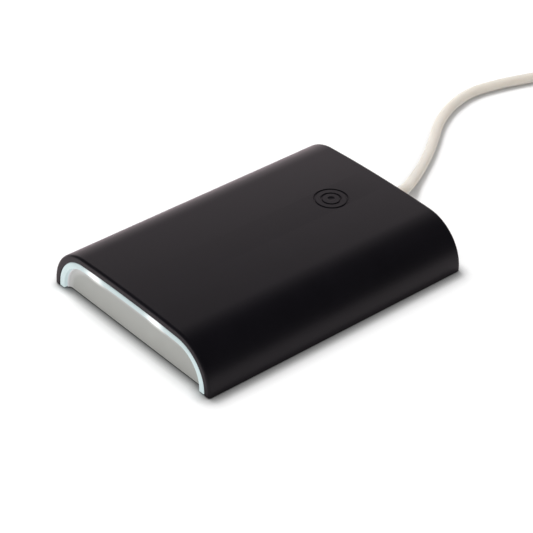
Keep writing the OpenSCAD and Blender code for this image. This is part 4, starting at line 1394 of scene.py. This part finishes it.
@dataclass
class UsbPlug:
    """The plug's grip with its ribbed sleeve, and the folded metal shell."""

    finishes: Finishes
    x: float = 42.0
    z: float = 4.0
    front: float = 114.0
    rear: float = 138.0
    end: float = 150.0
    grip: Pair = (15.6, 8.0)
    corner: float = 2.2
    tip: float = 95.5
    tip_edge: float = 0.5
    ribs: int = 5
    neck: float = 4.8
    rib_share: float = 0.62
    groove: float = 0.86
    groove_shares: Pair = (0.04, 0.30)
    bars: int = 5
    bar: Pair = (0.8, 12.0)
    bar_out: float = 0.35
    bar_first: float = 6.0
    bar_pitch: float = 3.2
    shell: Pair = (12.0, 4.5)
    fold: float = 0.6
    sheet: float = 0.3
    window_x: float = 3.0
    window_half: float = 1.1
    window_y: Pair = (5.2, 7.2)
    window_z: Pair = (-1.0, 9.0)
    window_edge: float = 0.2
    seam_half: float = 0.1
    seam_deep: float = 0.12

    def extrude(self, along: float, wide: float = 1.0, high: float = 1.0) -> None:
        """Extrude the selected faces along +Y, and scale their new end about the plug's middle line."""
        bpy.ops.mesh.extrude_region_move(TRANSFORM_OT_translate={"value": (0, along * MM, 0)})
        pivot = Vector((self.x, self.rear, self.z)) * MM
        bpy.ops.transform.resize(value=(wide, 1, high), center_override=pivot)

    def sleeve(self, grip: Piece) -> None:
        """Extrude the grip's rear face into a ribbed taper."""
        Bench.pick(grip, "FACE", lambda middle, normal: middle.y > self.rear - NEAR)
        bpy.ops.mesh.inset(thickness=self.corner * MM, depth=0)
        step = (self.end - self.rear) / self.ribs
        flank, bottom = self.groove_shares
        wide, high = (side - 2 * self.corner for side in self.grip)
        shares = [i / self.ribs for i in range(self.ribs + 1)]
        sizes = [(wide + (self.neck - wide) * share, high + (self.neck - high) * share) for share in shares]
        for i, ((last_w, last_h), (w, h)) in enumerate(zip(sizes, sizes[1:])):
            if i:
                self.extrude(step * flank, self.groove, self.groove)
                self.extrude(step * bottom)
                self.extrude(step * flank, 1 / self.groove, 1 / self.groove)
            self.extrude(step * self.rib_share, w / last_w, h / last_h)
        self.extrude(step * (1 - self.rib_share))
        bpy.ops.object.mode_set(mode="OBJECT")

    def build_grip(self) -> Piece:
        """Return the moulded grip with its sleeve."""
        w, h = self.grip[0] / 2, self.grip[1] / 2
        low, high = (self.x - w, self.front, self.z - h), (self.x + w, self.rear, self.z + h)
        grip = Bench.block("plug_grip", low, high)
        Bench.round_edges(grip, self.corner, 6, runs(Y))
        self.sleeve(grip)
        Bench.round_edges(grip, self.tip_edge, 3, lambda a, b: max(a.y, b.y) < self.front + NEAR)
        rows = [self.front + self.bar_first + i * self.bar_pitch for i in range(self.bars)]
        out, below = w + self.bar_out, self.z - self.bar[1] / 2
        bars = [Bench.rod("bar", (self.x + side * out, y, below), self.bar, 24)
                for side in SIDES for y in rows]
        Bench.work(grip, Fit.CUT, bars)
        Bench.close(grip)
        self.finishes.put(grip, "plug_beige", "cable_beige")
        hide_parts("usb_plug_body")
        return grip

    def openings(self) -> list[Piece]:
        """Return what is cut out of the shell: two windows through it and the seam below."""
        made = []
        half, (start, end), (low, high) = self.window_half, self.window_y, self.window_z
        for side in SIDES:
            x = self.x + side * self.window_x
            window = Bench.block("window", (x - half, self.tip + start, low),
                                 (x + half, self.tip + end, high))
            Bench.round_edges(window, self.window_edge, 3, runs(Z))
            made.append(window)
        half, low = self.seam_half, self.z - self.shell[1] / 2
        made.append(Bench.block("seam", (self.x - half, self.tip - OVER, low - OVER),
                                (self.x + half, self.front + OVER, low + self.seam_deep)))
        return made

    def build_shell(self) -> Piece:
        """Return the folded sheet shell with its windows and seam."""
        w, h = self.shell[0] / 2, self.shell[1] / 2
        low, high = (self.x - w, self.tip, self.z - h), (self.x + w, self.front, self.z + h)
        shell = Bench.block("plug_shell", low, high)
        Bench.round_edges(shell, self.fold, 4, runs(Y))
        Bench.drop_faces(shell, looks(Y))
        Bench.modify(shell, "SOLIDIFY", thickness=self.sheet * MM, offset=-1.0, use_even_offset=True)
        Bench.work(shell, Fit.CUT, self.openings())
        Bench.close(shell)
        self.finishes.put(shell, "plug_metal")
        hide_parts("usb_plug_shell")
        return shell


@dataclass(frozen=True)
class SoftBox:
    """A soft box: where it hangs, what it faces, its size and its power."""

    name: str
    place: Point
    wide: float
    high: float
    power: float
    aim: Point = (0.0, 0.0, 0.0)

    def hang(self) -> Piece:
        """Return the lamp, put in its place. Reflections show the white room and the cards, not the lamps."""
        data = bpy.data.lights.new(self.name, "AREA")
        data.shape = "RECTANGLE"
        data.size, data.size_y = self.wide * MM, self.high * MM
        data.energy = self.power
        lamp = link(self.name, data)
        lamp.location = Vector(self.place) * MM
        lamp.rotation_euler = (Vector(self.aim) - Vector(self.place)).to_track_quat("-Z", "Y").to_euler()
        lamp.visible_glossy = False
        return lamp


@dataclass(frozen=True)
class Card:
    """A dark card outside the picture, which keeps the reflections on its side dark."""

    name: str
    low: Point
    high: Point
    grey: float = 0.08

    def stand(self) -> Piece:
        """Return the card, seen in reflections only."""
        card = Bench.block(self.name, self.low, self.high)
        r = Recipe(self.name)
        r.dress(Base_Color=BLACK, Specular_IOR_Level=0.0, Emission_Color=WHITE, Emission_Strength=self.grey)
        card.data.materials.append(r.material)
        card.visible_camera = card.visible_diffuse = card.visible_shadow = False
        return card


@dataclass
class Studio:
    """The white table, the lamps, the dark cards, the surrounding light and the camera."""

    azimuth: float = 48.744
    elevation: float = 35.289
    distance: float = 639.982
    roll: float = 1.201
    focal_pixels: float = 2107.0
    frame_pixels: float = 533.0
    target: Point = (4.16, -0.65, 6.33)
    sensor: float = 36.0
    ambient: float = 0.45
    table_size: float = 6000.0
    table_white: Colour = (0.9, 0.9, 0.9)
    table_seen: float = 1.05
    # The painted shadow on the table: contact is its reach, then its power and the edges of where it is
    # strongest round the housing.
    contact: float = 4.2
    painted_shadow_power: float = 1.4
    painted_shadow_left: Pair = (-42.0, -34.0)
    painted_shadow_rear: Pair = (50.0, 56.0)
    painted_shadow_front: Pair = (-53.0, -49.0)
    far: Pair = (330.0, 600.0)
    boxes: tuple[SoftBox, ...] = (
        SoftBox("key_box", (-460, 40, 800), 400, 400, 5.4),
        SoftBox("front_box", (-250, -800, 90), 500, 140, 1.6),
        SoftBox("fill_box", (700, -520, 420), 600, 600, 2.0),
    )
    cards: tuple[Card, ...] = (
        Card("left_ceiling", (-1080, 200, 1200), (-270, 2500, 1210), 0.45),
        Card("right_ceiling", (-270, 200, 1200), (2500, 2500, 1210)),
        Card("front_ceiling", (-2500, -2500, 1200), (2500, 200, 1210), 0.12),
        Card("right_wall", (2500, -2500, 0), (2510, 2500, 1200)),
        Card("rear_wall", (300, 2500, 0), (2500, 2510, 1200)),
        Card("front_wall", (-2500, -2510, 0), (2500, -2500, 1200), 0.12),
        Card("left_wall", (-2510, -2500, 0), (-2500, -300, 1200), 0.12),
    )

    def camera(self) -> None:
        """Stand the camera where the photograph was taken from."""
        a, e, roll = (math.radians(v) for v in (self.azimuth, self.elevation, self.roll))
        back = Vector((math.sin(a) * math.cos(e), -math.cos(a) * math.cos(e), math.sin(e)))
        right = (-back).cross(Vector((0, 0, 1))).normalized()
        up = right.cross(-back)
        across = right * math.cos(roll) + up * math.sin(roll)
        upward = up * math.cos(roll) - right * math.sin(roll)
        data = bpy.data.cameras.new("camera")
        data.sensor_width = self.sensor
        data.lens = self.sensor * self.focal_pixels / self.frame_pixels
        data.clip_start, data.clip_end = 0.01, 20
        camera = link("camera", data)
        turn = camera.matrix_world.copy()
        for row in range(3):
            turn[row][0], turn[row][1], turn[row][2] = across[row], upward[row], back[row]
            turn[row][3] = (self.target[row] + back[row] * self.distance) * MM
        camera.matrix_world = turn
        bpy.context.scene.camera = camera

    def table(self) -> Piece:
        """Return the white table.

        The camera sees it a little lighter than the object does. It carries a painted shadow close to the
        object, strongest round the housing, and it is white far away.
        """
        Bench.clear()
        bpy.ops.mesh.primitive_plane_add(size=self.table_size * MM)
        table = Bench.settle("table")
        r = Recipe("table")
        r.dress(Base_Color=self.table_white, Roughness=0.9, Specular_IOR_Level=0.1)
        where = r.place()
        across, along = r.axis(where, "X"), r.axis(where, "Y")
        # Painted shadow: ambient occlusion darkens the table's colour, strongest round the housing, a little
        # weaker in front of it and weakest elsewhere; level, seen and near carry it.
        housing = across.rise(*self.painted_shadow_left) * (1.0 - along.rise(*self.painted_shadow_rear))
        front = 1.0 - along.rise(*self.painted_shadow_front)
        open_sky = r.node("ShaderNodeAmbientOcclusion", {}, {"Distance": self.contact * MM}, "AO")
        painted_shadow = 1.0 - open_sky ** self.painted_shadow_power
        level = (1.0 - painted_shadow * (housing * (0.7 - front * 0.2) + 0.3)) * self.table_seen
        seen = r.node("ShaderNodeBsdfDiffuse", {}, {"Color": level})
        near = r.mix(r.looked_at(), Signal(r, r.shader.outputs[0]), seen)
        away = r.node("ShaderNodeVectorMath", {"operation": "LENGTH"}, {0: where}, "Value") / MM
        fade = away.rise(*self.far) * r.ray("Camera")
        r.feed(r.surface, r.mix(fade, near, r.node("ShaderNodeEmission")))
        table.data.materials.append(r.material)
        return table

    def light(self) -> None:
        """Hang the lamps, stand the cards and set the surrounding light."""
        for box in self.boxes:
            box.hang()
        for card in self.cards:
            card.stand()
        world = bpy.data.worlds.new("studio")
        bpy.context.scene.world = world
        world.use_nodes = True
        sky = Graph(world.node_tree, "World Output")
        dim = sky.tree.nodes["Background"]
        sky.feed(dim.inputs["Color"], WHITE)
        sky.feed(dim.inputs["Strength"], self.ambient)
        white = sky.node("ShaderNodeBackground", {}, {"Color": WHITE})
        sky.feed(sky.surface, sky.mix(sky.looked_at(), Signal(sky, dim.outputs[0]), white))
        bpy.context.scene.view_settings.view_transform = "Standard"


class Reader:
    """The whole reader, built sub-assembly by sub-assembly."""

    KEPT = {
        "circuit_board": "board_green", "antenna_loop": "copper", "rf_chip": "chip_black",
        "controller_chip": "chip_black", "rf_crystal": "can_metal", "usb_crystal": "can_metal",
        "voltage_regulator": "chip_black", "led_left": "lamp_white", "led_right": "lamp_white",
        "capacitors": "ceramic_tan", "resistors": "chip_black", "inductors": "chip_black",
        "cable_header": "socket_cream", "header_plug": "socket_cream", "wire_red": "wire_red",
        "wire_white": "wire_white", "wire_green": "wire_green", "wire_black": "wire_black",
        "housing_screws": "screw_steel", "board_screws": "screw_steel",
        "usb_plug_tongue": "tongue_white", "usb_plug_contacts": "contact_gold",
    }

    def __init__(self, frame: dict) -> None:
        """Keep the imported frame.
        """
        self.frame = frame
        self.finishes = Finishes()
        self.arch = Arch()

    def dress_kept(self) -> None:
        """Give the CAD nodes that stay their materials."""
        for node, name in self.KEPT.items():
            piece = self.frame["nodes"][node]
            for slot in piece.material_slots:
                slot.material = self.finishes.get(name)

    def build(self) -> None:
        """Build the pieces, the cable first."""
        run = CableRun(self.finishes)
        cable = run.build()
        sleeve = ReliefSleeve(self.finishes).build()
        strap = CoilStrap(self.finishes).build()
        plug = UsbPlug(self.finishes)
        grip, metal = plug.build_grip(), plug.build_shell()
        run.declare()
        made = [cable, sleeve, strap, grip, metal]
        made.append(CoverShell(self.arch, self.finishes).build())
        made.append(GuideRing(self.arch, self.finishes).build())
        made.append(TrayPan(self.arch, self.finishes).build())
        made += RubberFeet(self.finishes).build()
        self.dress_kept()
        for piece in made:
            count = len(piece.data.polygons) if piece.type == "MESH" else 0
            LOG.info("%s: %d faces", piece.name, count)


def main() -> None:
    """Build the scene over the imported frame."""
    logging.basicConfig(level=logging.INFO, format="%(name)s: %(message)s")
    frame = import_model()
    studio = Studio()
    studio.camera()
    Reader(frame).build()
    studio.table()
    studio.light()
    Bench.clear()


if __name__ == "__main__":
    main()
